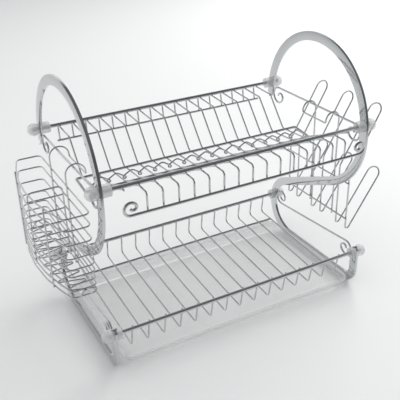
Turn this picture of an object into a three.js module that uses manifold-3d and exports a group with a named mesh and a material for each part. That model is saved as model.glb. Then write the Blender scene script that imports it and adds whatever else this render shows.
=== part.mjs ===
import * as THREE from 'three';
import { mergeVertices } from 'three/addons/utils/BufferGeometryUtils.js';
import Module from 'manifold-3d';

const wasm = await Module();
wasm.setup();

// Two-tier dish rack of chromed steel wire between two flat-bar side frames.
// Millimetres, +Z up, +X to the right, the front faces -Y, the floor is z = 0.
// Y = 0 is the middle of the bar where it runs down the front.

// Room between pieces
const SEAT_GAP = 0.3;          // between pieces that touch, rest or are welded
const WELD_BITE = 0.4;         // how far two wires of one welded grid sink together
const BORE_GAP = 0.3;          // round a rail in a hole
const BEND_SPARE = 0.03;       // straight stretch left between two bends that nearly meet
const SAME_POINT = 0.0003;     // points closer than this are one

// Side frames, of flat bar bent on edge
const FRAME_SPACING = 410;     // between the middles of the two bars
const BAR_THICKNESS = 4;
const BAR_WIDTH = 14;
const ARCH_RADIUS = 120;
const ARCH_HEIGHT = 255;       // arch centre above the floor
const TAIL_DROP = 7;           // rear end of the bar below the arch centre
const FRONT_BEND_RADIUS = 100;
const FRONT_BEND_DROP = 5;     // front bend centre below the arch centre
const HEEL_RADIUS = 50;
const HEEL_Y = 171;
const FOOT_RADIUS = 20;
const FOOT_LEG_Y = -4;         // middle of the short leg that rises at the front
const FOOT_LEG_ABOVE_RAIL = 9; // top of the leg above its rail
const CAP_STEP = 30;           // degrees between the points of a rounded bar end

// Cross rails that carry the two racks
const RAIL_DIAMETER = 5.5;
const UPPER_RAIL_ABOVE_ARCH = 18; // the rear one
const UPPER_FRONT_RAIL_DROP = 1.7; // below the rear one
const LOWER_FRONT_RAIL_Z = 60;
const LOWER_REAR_RAIL_Z = 66;
const RAIL_IN_KNOB = 9;        // length of rail end beyond the bar

// Ball nuts outside the bars and spacer collars inside them
const BALL_RADIUS = 9.5;
const BALL_FACE_RADIUS = 6.5;
const BALL_SOCKET_SPARE = 0.6; // air beyond the rail end
const COLLAR_RADIUS = 8.5;
const COLLAR_EDGE = 1.2;
const UPPER_COLLAR_LENGTH = 12;
const LOWER_COLLAR_LENGTH = 7;

// Side rails, scrolled at both ends and welded inside the bars
const SIDE_WIRE = 3.2;
const UPPER_SIDE_RAIL_DROP = 5;   // below the upper rear rail
const LOWER_SIDE_FRONT_RISE = 9;  // above the lower front rail
const LOWER_SIDE_REAR_DROP = 11;  // below the lower rear rail
const UPPER_SCROLL_RADIUS = 13;
const LOWER_SCROLL_RADIUS = 12;
const CURL_RADIUS = 6.5;
const SCROLL_SWEEP = 250;         // degrees
const CURL_SWEEP = 190;

// Upper rack
const STRINGER = 4;            // lighter cross wires
const PLATE_WIRE = 2.5;
const PLATE_COUNT = 17;
const STRINGER_SIDE_ROOM = 17;    // from the end of a stringer to the middle of the bar
const STRINGER_PAST_WIRES = 13.6;
const SHELF_BEND_AHEAD = 37.8;    // ahead of the upper rear rail, as the next three
const TROUGH_FRONT_AHEAD = 131.94;
const TROUGH_REAR_AHEAD = 94.04;
const REAR_BEND_AHEAD = 84.1;
const TROUGH_FRONT_DROP = 52.3;   // below the upper rear rail, as the next one
const TROUGH_REAR_DROP = 48;
const TROUGH_CORNER = 3.5;
const SHELF_RISE = 0.037;         // of the plate wires towards the rear rail, per millimetre
const SHELF_BEND_RADIUS = 6;
const REAR_BEND_RADIUS = 9;
const VALLEY_RADIUS = 12;
const NOSE_RADIUS = 5;
const BACK_BEND_RADIUS = 5;
const BACK_PAST_RAIL = 10.97;    // rear ends of the plate wires behind the upper rear rail
const BACK_DROP = 29.5;           // their tips below it
const BACK_LEAN = 3.3;            // their tips ahead of their bends
const REAR_LIP_WIRE = 3.2;
const REAR_LIP_ABOVE_TIPS = 2.7;
const REAR_LIP_PAST_WIRES = 5.1;
const LIP_AHEAD = 25.4;           // ahead of the upper front rail
const LIP_DROP = 28.3;            // below it
const LIP_PAST_WIRES = 1.6;
const LIP_SCROLL_RADIUS = 8.7;
const LIP_CURL_RADIUS = 4.5;
const LIP_SCROLL_SWEEP = 230;     // degrees
const LIP_CURL_SWEEP = 190;
const PLATE_WIRE_BELOW_LIP = 3;
const NUB_LENGTH = 3.4;        // outer plate wires, past the front rail

// Coiled stop on the front of the trough
const STOP_WIRE = 2.2;
const STOP_COILS = 15;
const STOP_PITCH = 23.5;
const STOP_HALF_WIDTH = 18;    // of one coil, which crosses the next
const STOP_HALF_DEPTH = 2;
const STOP_HEIGHT = 11.2;      // before its top is rounded
const STOP_BEHIND = 1.2;       // its middle behind the front of the trough
const STOP_TOP_BEND = 6;
const STOP_FOOT_BEND = 1.9;

// Lower rack
const GRID_COUNT = 15;
const GRID_SIDE_ROOM = 27.9;      // from the outer wire to the middle of the bar
const GRID_FRONT_SETBACK = 12.4;  // behind the lower front rail
const GRID_FRONT_DROP = 37.7;     // below it
const GRID_REAR_PAST_RAIL = 0.32; // behind the lower rear rail
const GRID_REAR_DROP = 30;        // below it
const GRID_BEND = 6;
const GRID_END_ABOVE_RAIL = 2.5;
const GRID_STRINGER_AHEAD = 26.18;
const GRID_STRINGER_SPARE = 2.9;  // past the outer wire

// Cutlery basket, hung outside the left frame
const BASKET_WIRE = 2.2;
const BASKET_STANDOFF = 10;    // inner side from the middle of the bar
const BASKET_END_WIDTH = 35;
const BASKET_BOW = 19;
const BASKET_FRONT_Y = 13;
const BASKET_DEPTH = 206;
const BASKET_CORNER = 8;
const BASKET_TOP_DROP = 28.5;  // below the side rail that it hangs on
const BASKET_HEIGHT = 115;
const BASKET_RING_SHARES = [0, 0.148, 0.326, 0.496, 0.635, 0.73, 0.826, 0.913, 1];
const BASKET_HOOK_SPACING = 67.4;
const BASKET_HOOKS_BEHIND = 12.4; // their middle behind the basket's
const BASKET_HOOK_INSIDE = 16.5;  // inner legs from the middle of the bar
const BASKET_POST_SPACING = 128;
const HOOK_LEG = 3.2;          // inner leg below the bend of the hook
const HOOK_FOOT_BEND = 3;
const DIVIDER_AHEAD = 2;       // ahead of the basket's middle
const DIVIDER_TOP_DROP = 4;
const DIVIDER_BEND = 8;
const DIVIDER_BARS = 6;
const FLOOR_PEAKS = 8;
const FLOOR_INSET = 6;

// Cup holder, hung outside the right frame
const CUP_WIRE = 2.6;
const CUP_STANDOFF = 4.9;      // back bars from the middle of the frame's bar
const CUP_MIDDLE_Y = 109;
const CUP_HOOK_SPACING = 58;
const CUP_HOOKS_AHEAD = 13.8;  // their middle ahead of the holder's
const CUP_HOOK_INSIDE = 18;    // inner legs from the middle of the bar
const CUP_BAR_LENGTH = 164;
const CUP_POST_DROP = 173;     // below the side rail that it hangs on, as the next six
const CUP_UPPER_BAR_DROP = 104;
const CUP_LOWER_BAR_DROP = 166;
const PEG_ELBOW_DROP = 83;
const PEG_FOOT_DROP = 183;
const PEG_LOWER_TIP_DROP = 97;
const PEG_UPPER_TIP_RISE = 13;
const PEG_UPPER_REACH = 58.1;  // out from the back bars
const PEG_LOWER_REACH = 68.1;
const PEG_PITCH = 65.5;
const PEG_HALF_WIDTH = 12;
const PEG_ELBOW_BEND = 12;
const PEG_FOOT_BEND = 6;

// Drip tray
const TRAY_SIDE_ROOM = 7;      // between its rim and a side frame
const TRAY_PAST_LEG = 8;       // ahead of the middle of the front legs
const TRAY_PAST_HEEL = 42;     // behind the centre of the heel
const TRAY_HEIGHT = 17;
const TRAY_WALL = 2;
const TRAY_FLOOR = 2;
const TRAY_DRAFT = 5;
const TRAY_CORNER = 18;
const TRAY_RIM = 3;

// Fineness
const RAIL_SIDES = 8;
const WIRE_SIDES = 6;
const THIN_SIDES = 5;
const LATHE_STEPS = 12;
const BEND_STEP = 46;
const FINE_STEP = 30;
const HOOK_STEP = 18;
const BAR_STEP = 9;
const DEGREE = Math.PI / 180;

const CHROME = { color: 0xc9cbcd, metalness: 1, roughness: 0.16 };
const CLEAR_PLASTIC = { color: 0xe4e6e6, metalness: 0, roughness: 0.3 };
const TRAY_PLASTIC = { color: 0xe1e3e2, metalness: 0, roughness: 0.42 };

// Values that several pieces share
const barPlaneX = FRAME_SPACING / 2;
const barFaceX = barPlaneX + BAR_THICKNESS / 2;
const archY = ARCH_RADIUS;
const floorRunZ = BAR_WIDTH / 2;
const heelZ = floorRunZ + HEEL_RADIUS;
const frontRailRise = UPPER_RAIL_ABOVE_ARCH - UPPER_FRONT_RAIL_DROP;
const heelRise = LOWER_REAR_RAIL_Z - heelZ;
const railRadius = RAIL_DIAMETER / 2;

const upperRailZ = ARCH_HEIGHT + UPPER_RAIL_ABOVE_ARCH;
const sideRailZ = upperRailZ - UPPER_SIDE_RAIL_DROP;
const upperFront = { y: archY - Math.sqrt(ARCH_RADIUS ** 2 - frontRailRise ** 2), z: ARCH_HEIGHT + frontRailRise };
const upperRear = { y: archY + Math.sqrt(ARCH_RADIUS ** 2 - UPPER_RAIL_ABOVE_ARCH ** 2), z: upperRailZ };
const lowerFront = { y: FOOT_LEG_Y, z: LOWER_FRONT_RAIL_Z };
const lowerRear = { y: HEEL_Y + Math.sqrt(HEEL_RADIUS ** 2 - heelRise ** 2), z: LOWER_REAR_RAIL_Z };

const troughFront = { y: upperRear.y - TROUGH_FRONT_AHEAD, z: upperRailZ - TROUGH_FRONT_DROP };
const troughRear = { y: upperRear.y - TROUGH_REAR_AHEAD, z: upperRailZ - TROUGH_REAR_DROP };
const lip = { y: upperFront.y - LIP_AHEAD, z: upperFront.z - LIP_DROP };
const plateWireOverTrough = troughFront.z + STRINGER / 2 + SEAT_GAP + PLATE_WIRE / 2;
const backTip = { y: upperRear.y + BACK_PAST_RAIL - BACK_LEAN, z: upperRailZ - BACK_DROP };
const stringerHalf = barPlaneX - STRINGER_SIDE_ROOM;
const plateRowHalf = stringerHalf - STRINGER_PAST_WIRES;
const platePitch = (2 * plateRowHalf) / (PLATE_COUNT - 1);
const gridHalf = barPlaneX - GRID_SIDE_ROOM;
const gridPitch = (2 * gridHalf) / (GRID_COUNT - 1);

const basketInnerX = barPlaneX + BASKET_STANDOFF;
const basketEndX = basketInnerX + BASKET_END_WIDTH;
const basketMiddleY = BASKET_FRONT_Y + BASKET_DEPTH / 2;
const basketRearY = BASKET_FRONT_Y + BASKET_DEPTH;
const basketTopZ = sideRailZ - BASKET_TOP_DROP;
const basketBottomZ = basketTopZ - BASKET_HEIGHT;
const dividerY = basketMiddleY - DIVIDER_AHEAD;
const cupBackX = barPlaneX + CUP_STANDOFF;
const trayHalfWidth = barPlaneX - BAR_THICKNESS / 2 - TRAY_SIDE_ROOM;
const trayFrontY = FOOT_LEG_Y - TRAY_PAST_LEG;
const trayRearY = HEEL_Y + TRAY_PAST_HEEL;

// A route through numbered vertices, with one section at each vertex.
class WireRoute extends THREE.Curve {
  constructor(vertices, closed = false) {
    super();
    this.vertices = vertices;
    this.closed = closed;
    this.spans = closed ? vertices.length : vertices.length - 1;
  }

  getPoint(share, target = new THREE.Vector3()) {
    const index = Math.round(share * this.spans) % this.vertices.length;
    return target.copy(this.vertices[index]);
  }

  getPointAt(share, target) {
    return this.getPoint(share, target);
  }

  getTangentAt(share, target = new THREE.Vector3()) {
    const count = this.vertices.length;
    const index = Math.round(share * this.spans);
    const here = this.vertices[index % count];
    const before = this.closed ? this.vertices[(index + count - 1) % count] : this.vertices[index - 1];
    const after = this.closed ? this.vertices[(index + 1) % count] : this.vertices[index + 1];
    target.set(0, 0, 0);
    if (before) target.add(here.clone().sub(before).normalize());
    if (after) target.add(after.clone().sub(here).normalize());
    return target.normalize();
  }
}

// The regular section of a round wire.
function roundSection(diameter, sides) {
  const corners = [];
  for (let side = 0; side < sides; side += 1) {
    const angle = (side * 2 * Math.PI) / sides;
    corners.push(new THREE.Vector2(Math.cos(angle), Math.sin(angle)).multiplyScalar(diameter / 2));
  }
  return new THREE.Shape(corners);
}

// A wire with two ends.
function wire(vertices, diameter, sides = WIRE_SIDES) {
  const route = new WireRoute(vertices);
  const options = { steps: route.spans, bevelEnabled: false, extrudePath: route };
  return new THREE.ExtrudeGeometry(roundSection(diameter, sides), options);
}

// A wire welded into a ring.
function ring(vertices, diameter, sides = WIRE_SIDES) {
  const route = new WireRoute(vertices, true);
  return new THREE.TubeGeometry(route, route.spans, diameter / 2, sides, true);
}

// Vertices of a rough line whose corners are rounded, each by its own radius or by one for all.
function bent(corners, bend, closed = false, stepAngle = BEND_STEP) {
  const count = corners.length;
  const vertices = [];
  corners.forEach((here, index) => {
    const radius = Array.isArray(bend) ? bend[index] : bend;
    const isEnd = !closed && (index === 0 || index === count - 1);
    if (isEnd || radius === 0) {
      vertices.push(here.clone());
      return;
    }
    const back = corners[(index + count - 1) % count].clone().sub(here).normalize();
    const ahead = corners[(index + 1) % count].clone().sub(here).normalize();
    const turn = Math.PI - back.angleTo(ahead);
    const middle = back.clone().add(ahead).normalize();
    const centre = here.clone().addScaledVector(middle, radius / Math.cos(turn / 2));
    const arm = here.clone().addScaledVector(back, radius * Math.tan(turn / 2)).sub(centre);
    const axis = new THREE.Vector3().crossVectors(ahead, back).normalize();
    const steps = Math.max(1, Math.ceil(turn / (stepAngle * DEGREE)));
    for (let step = 0; step <= steps; step += 1) {
      const turned = arm.clone().applyAxisAngle(axis, (turn * step) / steps);
      vertices.push(centre.clone().add(turned));
    }
  });
  return vertices;
}

// A line led round a row of round formers in a plane. Each former has its centre and a radius,
// positive where the line turns left round it and negative where it turns right.
function led(formers, stepAngle) {
  const headings = [];
  for (let index = 0; index + 1 < formers.length; index += 1) {
    const from = formers[index];
    const to = formers[index + 1];
    const distance = Math.hypot(to.u - from.u, to.v - from.v);
    const direct = Math.atan2(to.v - from.v, to.u - from.u);
    headings.push(direct - Math.asin((to.radius - from.radius) / distance));
  }
  const points = [];
  formers.forEach((former, index) => {
    const arriving = headings[Math.max(index - 1, 0)];
    const leaving = headings[Math.min(index, headings.length - 1)];
    const sense = Math.sign(former.radius);
    let turn = (leaving - arriving) * sense;
    while (turn < -DEGREE) turn += 2 * Math.PI;
    const steps = sense === 0 ? 0 : Math.max(1, Math.ceil(turn / (stepAngle * DEGREE)));
    for (let step = 0; step <= steps; step += 1) {
      const heading = steps === 0 ? leaving : arriving + (sense * turn * step) / steps;
      points.push({
        u: former.u + former.radius * Math.sin(heading),
        v: former.v - former.radius * Math.cos(heading),
        heading,
      });
    }
  });
  return points;
}

// A scroll in a plane: a wide arc that tightens into a curl.
function scroll(centre, radius, curl, startAngle, sense, wideSweep, curlSweep) {
  const points = [];
  const arc = (middle, size, from, sweep) => {
    const steps = Math.ceil(sweep / FINE_STEP);
    for (let step = 0; step <= steps; step += 1) {
      const angle = (from + (sense * sweep * step) / steps) * DEGREE;
      points.push({ u: middle.u + size * Math.cos(angle), v: middle.v + size * Math.sin(angle) });
    }
  };
  arc(centre, radius, startAngle, wideSweep);
  points.pop();
  const meet = (startAngle + sense * wideSweep) * DEGREE;
  const shift = radius - curl;
  const inner = { u: centre.u + shift * Math.cos(meet), v: centre.v + shift * Math.sin(meet) };
  arc(inner, curl, startAngle + sense * wideSweep, curlSweep);
  return points;
}

const inSidePlane = (x) => (point) => new THREE.Vector3(x, point.u, point.v);
const inFrontPlane = (y) => (point) => new THREE.Vector3(point.u, y, point.v);

// The solid of a closed geometry, and the geometry of a solid.
function toSolid(geometry) {
  const bare = geometry.index ? geometry.toNonIndexed() : geometry.clone();
  bare.deleteAttribute('normal');
  bare.deleteAttribute('uv');
  const merged = mergeVertices(bare, SAME_POINT);
  return new wasm.Manifold(new wasm.Mesh({
    numProp: 3,
    vertProperties: new Float32Array(merged.attributes.position.array),
    triVerts: new Uint32Array(merged.index.array),
  }));
}

function toGeometry(solid) {
  const mesh = solid.getMesh();
  const geometry = new THREE.BufferGeometry();
  geometry.setAttribute('position', new THREE.BufferAttribute(new Float32Array(mesh.vertProperties), 3));
  geometry.setIndex(new THREE.BufferAttribute(new Uint32Array(mesh.triVerts), 1));
  geometry.computeVertexNormals();
  return geometry;
}

function join(geometries) {
  return toGeometry(geometries.map(toSolid).reduce((sum, solid) => sum.add(solid)));
}

function cut(body, tools) {
  return toGeometry(tools.map(toSolid).reduce((rest, tool) => rest.subtract(tool), toSolid(body)));
}

const rack = new THREE.Group();

function place(name, geometry, finish = CHROME) {
  const mesh = new THREE.Mesh(geometry, new THREE.MeshStandardMaterial(finish));
  mesh.name = name;
  rack.add(mesh);
  return mesh;
}

// Flat bar of one side frame, with its four rail holes.
function sideFrame() {
  const start = { u: archY + ARCH_RADIUS, v: ARCH_HEIGHT - TAIL_DROP, radius: 0 };
  const legTop = LOWER_FRONT_RAIL_Z + FOOT_LEG_ABOVE_RAIL;
  const end = { u: FOOT_LEG_Y, v: legTop - BAR_WIDTH / 2, radius: 0 };
  const middle = led([
    start,
    { u: archY, v: ARCH_HEIGHT, radius: ARCH_RADIUS },
    { u: FRONT_BEND_RADIUS, v: ARCH_HEIGHT - FRONT_BEND_DROP, radius: FRONT_BEND_RADIUS },
    { u: HEEL_Y, v: heelZ, radius: -HEEL_RADIUS },
    { u: FOOT_LEG_Y + FOOT_RADIUS, v: floorRunZ + FOOT_RADIUS, radius: -FOOT_RADIUS },
    end,
  ], BAR_STEP);
  const beside = (point, side) => new THREE.Vector2(
    point.u - (side * BAR_WIDTH * Math.sin(point.heading)) / 2,
    point.v + (side * BAR_WIDTH * Math.cos(point.heading)) / 2,
  );
  const cap = (point, facing) => {
    const arc = [];
    for (let step = 2; step >= -2; step -= 1) {
      const heading = facing + step * CAP_STEP * DEGREE;
      arc.push(new THREE.Vector2(
        point.u + (BAR_WIDTH / 2) * Math.cos(heading),
        point.v + (BAR_WIDTH / 2) * Math.sin(heading),
      ));
    }
    return arc;
  };
  const last = middle[middle.length - 1];
  const outline = new THREE.Shape([
    ...middle.map((point) => beside(point, 1)),
    ...cap(last, last.heading),
    ...middle.map((point) => beside(point, -1)).reverse(),
    ...cap(middle[0], middle[0].heading + Math.PI),
  ]);
  const bar = new THREE.ExtrudeGeometry(outline, { depth: BAR_THICKNESS, bevelEnabled: false });
  const axes = [new THREE.Vector3(0, 1, 0), new THREE.Vector3(0, 0, 1), new THREE.Vector3(1, 0, 0)];
  bar.applyMatrix4(new THREE.Matrix4().makeBasis(...axes));
  bar.translate(-BAR_THICKNESS / 2, 0, 0);
  const holes = [upperFront, upperRear, lowerFront, lowerRear].map((at) => {
    const radius = railRadius + BORE_GAP;
    const drill = new THREE.CylinderGeometry(radius, radius, 2 * BAR_THICKNESS, LATHE_STEPS);
    return drill.rotateZ(Math.PI / 2).translate(0, at.y, at.z);
  });
  return cut(bar, holes);
}

// A straight cross wire or rail.
function crossWire(halfLength, at, diameter, sides = RAIL_SIDES) {
  const ends = [-halfLength, halfLength].map((x) => new THREE.Vector3(x, at.y, at.z));
  return wire(ends, diameter, sides);
}

// Ball nut with a blind socket, along +X from the outer face of the bar.
function ballNut() {
  const face = SEAT_GAP;
  const centre = face + Math.sqrt(BALL_RADIUS ** 2 - BALL_FACE_RADIUS ** 2);
  const socket = RAIL_IN_KNOB + BALL_SOCKET_SPARE;
  const bore = railRadius + BORE_GAP;
  const profile = [
    new THREE.Vector2(0, socket),
    new THREE.Vector2(bore, socket),
    new THREE.Vector2(bore, face),
  ];
  const first = Math.asin((face - centre) / BALL_RADIUS);
  const steps = LATHE_STEPS / 2;
  for (let step = 0; step < steps; step += 1) {
    const angle = first + ((Math.PI / 2 - first) * step) / steps;
    profile.push(new THREE.Vector2(BALL_RADIUS * Math.cos(angle), centre + BALL_RADIUS * Math.sin(angle)));
  }
  profile.push(new THREE.Vector2(0, centre + BALL_RADIUS));
  return new THREE.LatheGeometry(profile, LATHE_STEPS).rotateZ(-Math.PI / 2);
}

// Spacer collar, along +X from its inner end.
function collar(length) {
  const bore = railRadius + BORE_GAP;
  const profile = [
    new THREE.Vector2(bore, 0),
    new THREE.Vector2(COLLAR_RADIUS - COLLAR_EDGE, 0),
    new THREE.Vector2(COLLAR_RADIUS, COLLAR_EDGE),
    new THREE.Vector2(COLLAR_RADIUS, length - COLLAR_EDGE),
    new THREE.Vector2(COLLAR_RADIUS - COLLAR_EDGE, length),
    new THREE.Vector2(bore, length),
    new THREE.Vector2(bore, 0),
  ];
  return new THREE.LatheGeometry(profile, LATHE_STEPS).rotateZ(-Math.PI / 2);
}

// Upper side rail: both scrolls turn down and lie against the bar.
function upperSideRail(x) {
  const reach = ARCH_RADIUS - BAR_WIDTH / 2 - SEAT_GAP - SIDE_WIRE / 2 - UPPER_SCROLL_RADIUS;
  const centreZ = sideRailZ - UPPER_SCROLL_RADIUS;
  const spread = Math.sqrt(reach ** 2 - (centreZ - ARCH_HEIGHT) ** 2);
  const shape = [UPPER_SCROLL_RADIUS, CURL_RADIUS, 90];
  const front = scroll({ u: archY - spread, v: centreZ }, ...shape, 1, SCROLL_SWEEP, CURL_SWEEP);
  const rear = scroll({ u: archY + spread, v: centreZ }, ...shape, -1, SCROLL_SWEEP, CURL_SWEEP);
  return wire([...front.reverse(), ...rear].map(inSidePlane(x)), SIDE_WIRE);
}

// Lower side rail: the front scroll turns down against the short leg, the rear one up in the heel.
function lowerSideRail(x) {
  const frontZ = LOWER_FRONT_RAIL_Z + LOWER_SIDE_FRONT_RISE;
  const rearLineZ = LOWER_REAR_RAIL_Z - LOWER_SIDE_REAR_DROP;
  const slope = Math.atan2(frontZ - rearLineZ, HEEL_Y) / DEGREE;
  const clear = BAR_WIDTH / 2 + SEAT_GAP + SIDE_WIRE / 2;
  const frontCentre = { u: FOOT_LEG_Y + clear + LOWER_SCROLL_RADIUS, v: frontZ - LOWER_SCROLL_RADIUS };
  const rearZ = rearLineZ + LOWER_SCROLL_RADIUS;
  const reach = HEEL_RADIUS - clear - LOWER_SCROLL_RADIUS;
  const rearCentre = { u: HEEL_Y + Math.sqrt(reach ** 2 - (rearZ - heelZ) ** 2), v: rearZ };
  const shape = [LOWER_SCROLL_RADIUS, CURL_RADIUS];
  const front = scroll(frontCentre, ...shape, 90 - slope, 1, SCROLL_SWEEP, CURL_SWEEP);
  const rear = scroll(rearCentre, ...shape, 270 - slope, 1, SCROLL_SWEEP, CURL_SWEEP);
  return wire([...front.reverse(), ...rear].map(inSidePlane(x)), SIDE_WIRE);
}

// One wire that holds plates: down behind the rear rail, under it, the trough, the rise and the nose.
function plateWire(x, hasNose) {
  const half = PLATE_WIRE / 2;
  const underRail = railRadius + SEAT_GAP + half;
  const slant = Math.hypot(1, SHELF_RISE);
  const shelfZ = (y) => upperRear.z - underRail * slant + SHELF_RISE * (y - upperRear.y);
  const backY = upperRear.y + BACK_PAST_RAIL - BACK_BEND_RADIUS;
  const shelfY = upperRear.y - SHELF_BEND_AHEAD;
  const underRear = troughRear.z - STRINGER / 2 - SEAT_GAP - half;
  const dip = (plateWireOverTrough - underRear) / (troughRear.y - troughFront.y);
  const bendY = upperRear.y - REAR_BEND_AHEAD;
  const bendZ = underRear - dip * (bendY - troughRear.y);
  const route = led([
    { u: backTip.y, v: backTip.z, radius: 0 },
    { u: backY, v: shelfZ(backY) - BACK_BEND_RADIUS * slant, radius: BACK_BEND_RADIUS },
    { u: shelfY, v: shelfZ(shelfY) - SHELF_BEND_RADIUS * slant, radius: SHELF_BEND_RADIUS },
    { u: bendY, v: bendZ + REAR_BEND_RADIUS, radius: -REAR_BEND_RADIUS },
    { u: troughFront.y, v: plateWireOverTrough + VALLEY_RADIUS, radius: -VALLEY_RADIUS },
    { u: upperFront.y, v: upperFront.z - underRail - NOSE_RADIUS, radius: NOSE_RADIUS },
    ...noseFormers(hasNose, half),
  ], BEND_STEP);
  return wire(route.map(inSidePlane(x)), PLATE_WIRE, THIN_SIDES);
}

// The front of a plate wire: over and down behind the lip rail, or a short nub.
function noseFormers(hasNose, half) {
  const level = upperFront.z - railRadius - SEAT_GAP - half;
  if (!hasNose) return [{ u: upperFront.y - NUB_LENGTH, v: level, radius: 0 }];
  const dropY = lip.y + STRINGER / 2 + SEAT_GAP + half;
  return [
    { u: dropY + NOSE_RADIUS, v: level - NOSE_RADIUS, radius: NOSE_RADIUS },
    { u: dropY, v: lip.z - PLATE_WIRE_BELOW_LIP, radius: 0 },
  ];
}

// Closed wire round the trough that the plates stand in.
function troughRing() {
  const corners = [
    new THREE.Vector3(-stringerHalf, troughFront.y, troughFront.z),
    new THREE.Vector3(stringerHalf, troughFront.y, troughFront.z),
    new THREE.Vector3(stringerHalf, troughRear.y, troughRear.z),
    new THREE.Vector3(-stringerHalf, troughRear.y, troughRear.z),
  ];
  return ring(bent(corners, TROUGH_CORNER, true, FINE_STEP), STRINGER, RAIL_SIDES);
}

// Flattened coil along the front of the trough that stops the plates. It lies on the plate wires,
// each coil crosses the next, and both ends come down on the ring.
function plateStop() {
  const y = troughFront.y + STOP_BEHIND;
  const restZ = plateWireOverTrough + (PLATE_WIRE + STOP_WIRE) / 2 + SEAT_GAP;
  const endZ = troughFront.z + (STRINGER + STOP_WIRE) / 2 + SEAT_GAP;
  const lastX = ((STOP_COILS - 1) * STOP_PITCH) / 2;
  const corners = [new THREE.Vector3(-lastX - STOP_HALF_WIDTH, y, endZ)];
  const bends = [0];
  for (let coil = 0; coil < STOP_COILS; coil += 1) {
    const x = coil * STOP_PITCH - lastX;
    if (coil > 0) {
      corners.push(new THREE.Vector3(x - STOP_PITCH + STOP_HALF_WIDTH, y - STOP_HALF_DEPTH, restZ));
      corners.push(new THREE.Vector3(x - STOP_HALF_WIDTH, y + STOP_HALF_DEPTH, restZ));
      bends.push(STOP_FOOT_BEND, STOP_FOOT_BEND);
    }
    corners.push(new THREE.Vector3(x, y, restZ + STOP_HEIGHT));
    bends.push(STOP_TOP_BEND);
  }
  corners.push(new THREE.Vector3(lastX + STOP_HALF_WIDTH, y, endZ));
  bends.push(0);
  return wire(bent(corners, bends, false, FINE_STEP), STOP_WIRE, THIN_SIDES);
}

// Plain rail in front of the plate wires' rear tips, which lean on it.
function rearLipRail() {
  const clear = (PLATE_WIRE + REAR_LIP_WIRE) / 2 + SEAT_GAP;
  const bendMiddle = upperRailZ - railRadius - BACK_BEND_RADIUS;
  const lean = Math.atan2(BACK_LEAN, bendMiddle - backTip.z);
  const at = {
    y: backTip.y + REAR_LIP_ABOVE_TIPS * Math.tan(lean) - clear / Math.cos(lean),
    z: backTip.z + REAR_LIP_ABOVE_TIPS,
  };
  return crossWire(plateRowHalf + REAR_LIP_PAST_WIRES, at, REAR_LIP_WIRE);
}

// Lip rail in front of the plate wires, with a scroll up at each end.
function lipRail() {
  const half = plateRowHalf + LIP_PAST_WIRES;
  const centreZ = lip.z + LIP_SCROLL_RADIUS;
  const shape = [LIP_SCROLL_RADIUS, LIP_CURL_RADIUS, 270];
  const left = scroll({ u: -half, v: centreZ }, ...shape, -1, LIP_SCROLL_SWEEP, LIP_CURL_SWEEP);
  const right = scroll({ u: half, v: centreZ }, ...shape, 1, LIP_SCROLL_SWEEP, LIP_CURL_SWEEP);
  return wire([...left.reverse(), ...right].map(inFrontPlane(lip.y)), STRINGER);
}

// Floor of the lower rack: bent wires welded to one stringer.
function lowerGrid() {
  const half = PLATE_WIRE / 2;
  const clear = railRadius + SEAT_GAP + half;
  const front = { y: lowerFront.y + GRID_FRONT_SETBACK, z: lowerFront.z - GRID_FRONT_DROP };
  const rear = { y: lowerRear.y + GRID_REAR_PAST_RAIL, z: lowerRear.z - GRID_REAR_DROP };
  const rise = (rear.z - front.z) / (rear.y - front.y);
  const pieces = [];
  for (let index = 0; index < GRID_COUNT; index += 1) {
    const x = index * gridPitch - gridHalf;
    pieces.push(wire(bent([
      new THREE.Vector3(x, lowerFront.y + clear, lowerFront.z + GRID_END_ABOVE_RAIL),
      new THREE.Vector3(x, front.y, front.z),
      new THREE.Vector3(x, rear.y, rear.z),
      new THREE.Vector3(x, lowerRear.y - clear, lowerRear.z + GRID_END_ABOVE_RAIL),
    ], GRID_BEND), PLATE_WIRE, THIN_SIDES));
  }
  const stringerY = lowerRear.y - GRID_STRINGER_AHEAD;
  const wireZ = front.z + rise * (stringerY - front.y);
  const stringer = { y: stringerY, z: wireZ - (STRINGER + PLATE_WIRE) / 2 + WELD_BITE };
  pieces.push(crossWire(gridHalf + GRID_STRINGER_SPARE, stringer, STRINGER, WIRE_SIDES));
  return join(pieces);
}

// Distance of the basket's bowed outer side from the centre plane.
function bowX(y) {
  const share = (y - basketMiddleY) / (basketRearY - basketMiddleY);
  return basketEndX + BASKET_BOW * (1 - share ** 2);
}

// One D-shaped ring of the basket.
function basketRing(z) {
  const bowShares = [0.8, 0.6, 0.4, 0.2];
  const bow = bowShares.map((share) => {
    const y = BASKET_FRONT_Y + BASKET_DEPTH * share;
    return new THREE.Vector3(-bowX(y), y, z);
  });
  const corners = [
    new THREE.Vector3(-basketInnerX, BASKET_FRONT_Y, z),
    new THREE.Vector3(-basketInnerX, basketRearY, z),
    new THREE.Vector3(-basketEndX, basketRearY, z),
    ...bow,
    new THREE.Vector3(-basketEndX, BASKET_FRONT_Y, z),
  ];
  const bends = [BASKET_CORNER, BASKET_CORNER, BASKET_CORNER, ...bow.map(() => 0), BASKET_CORNER];
  return ring(bent(corners, bends, true), BASKET_WIRE, THIN_SIDES);
}

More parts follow.
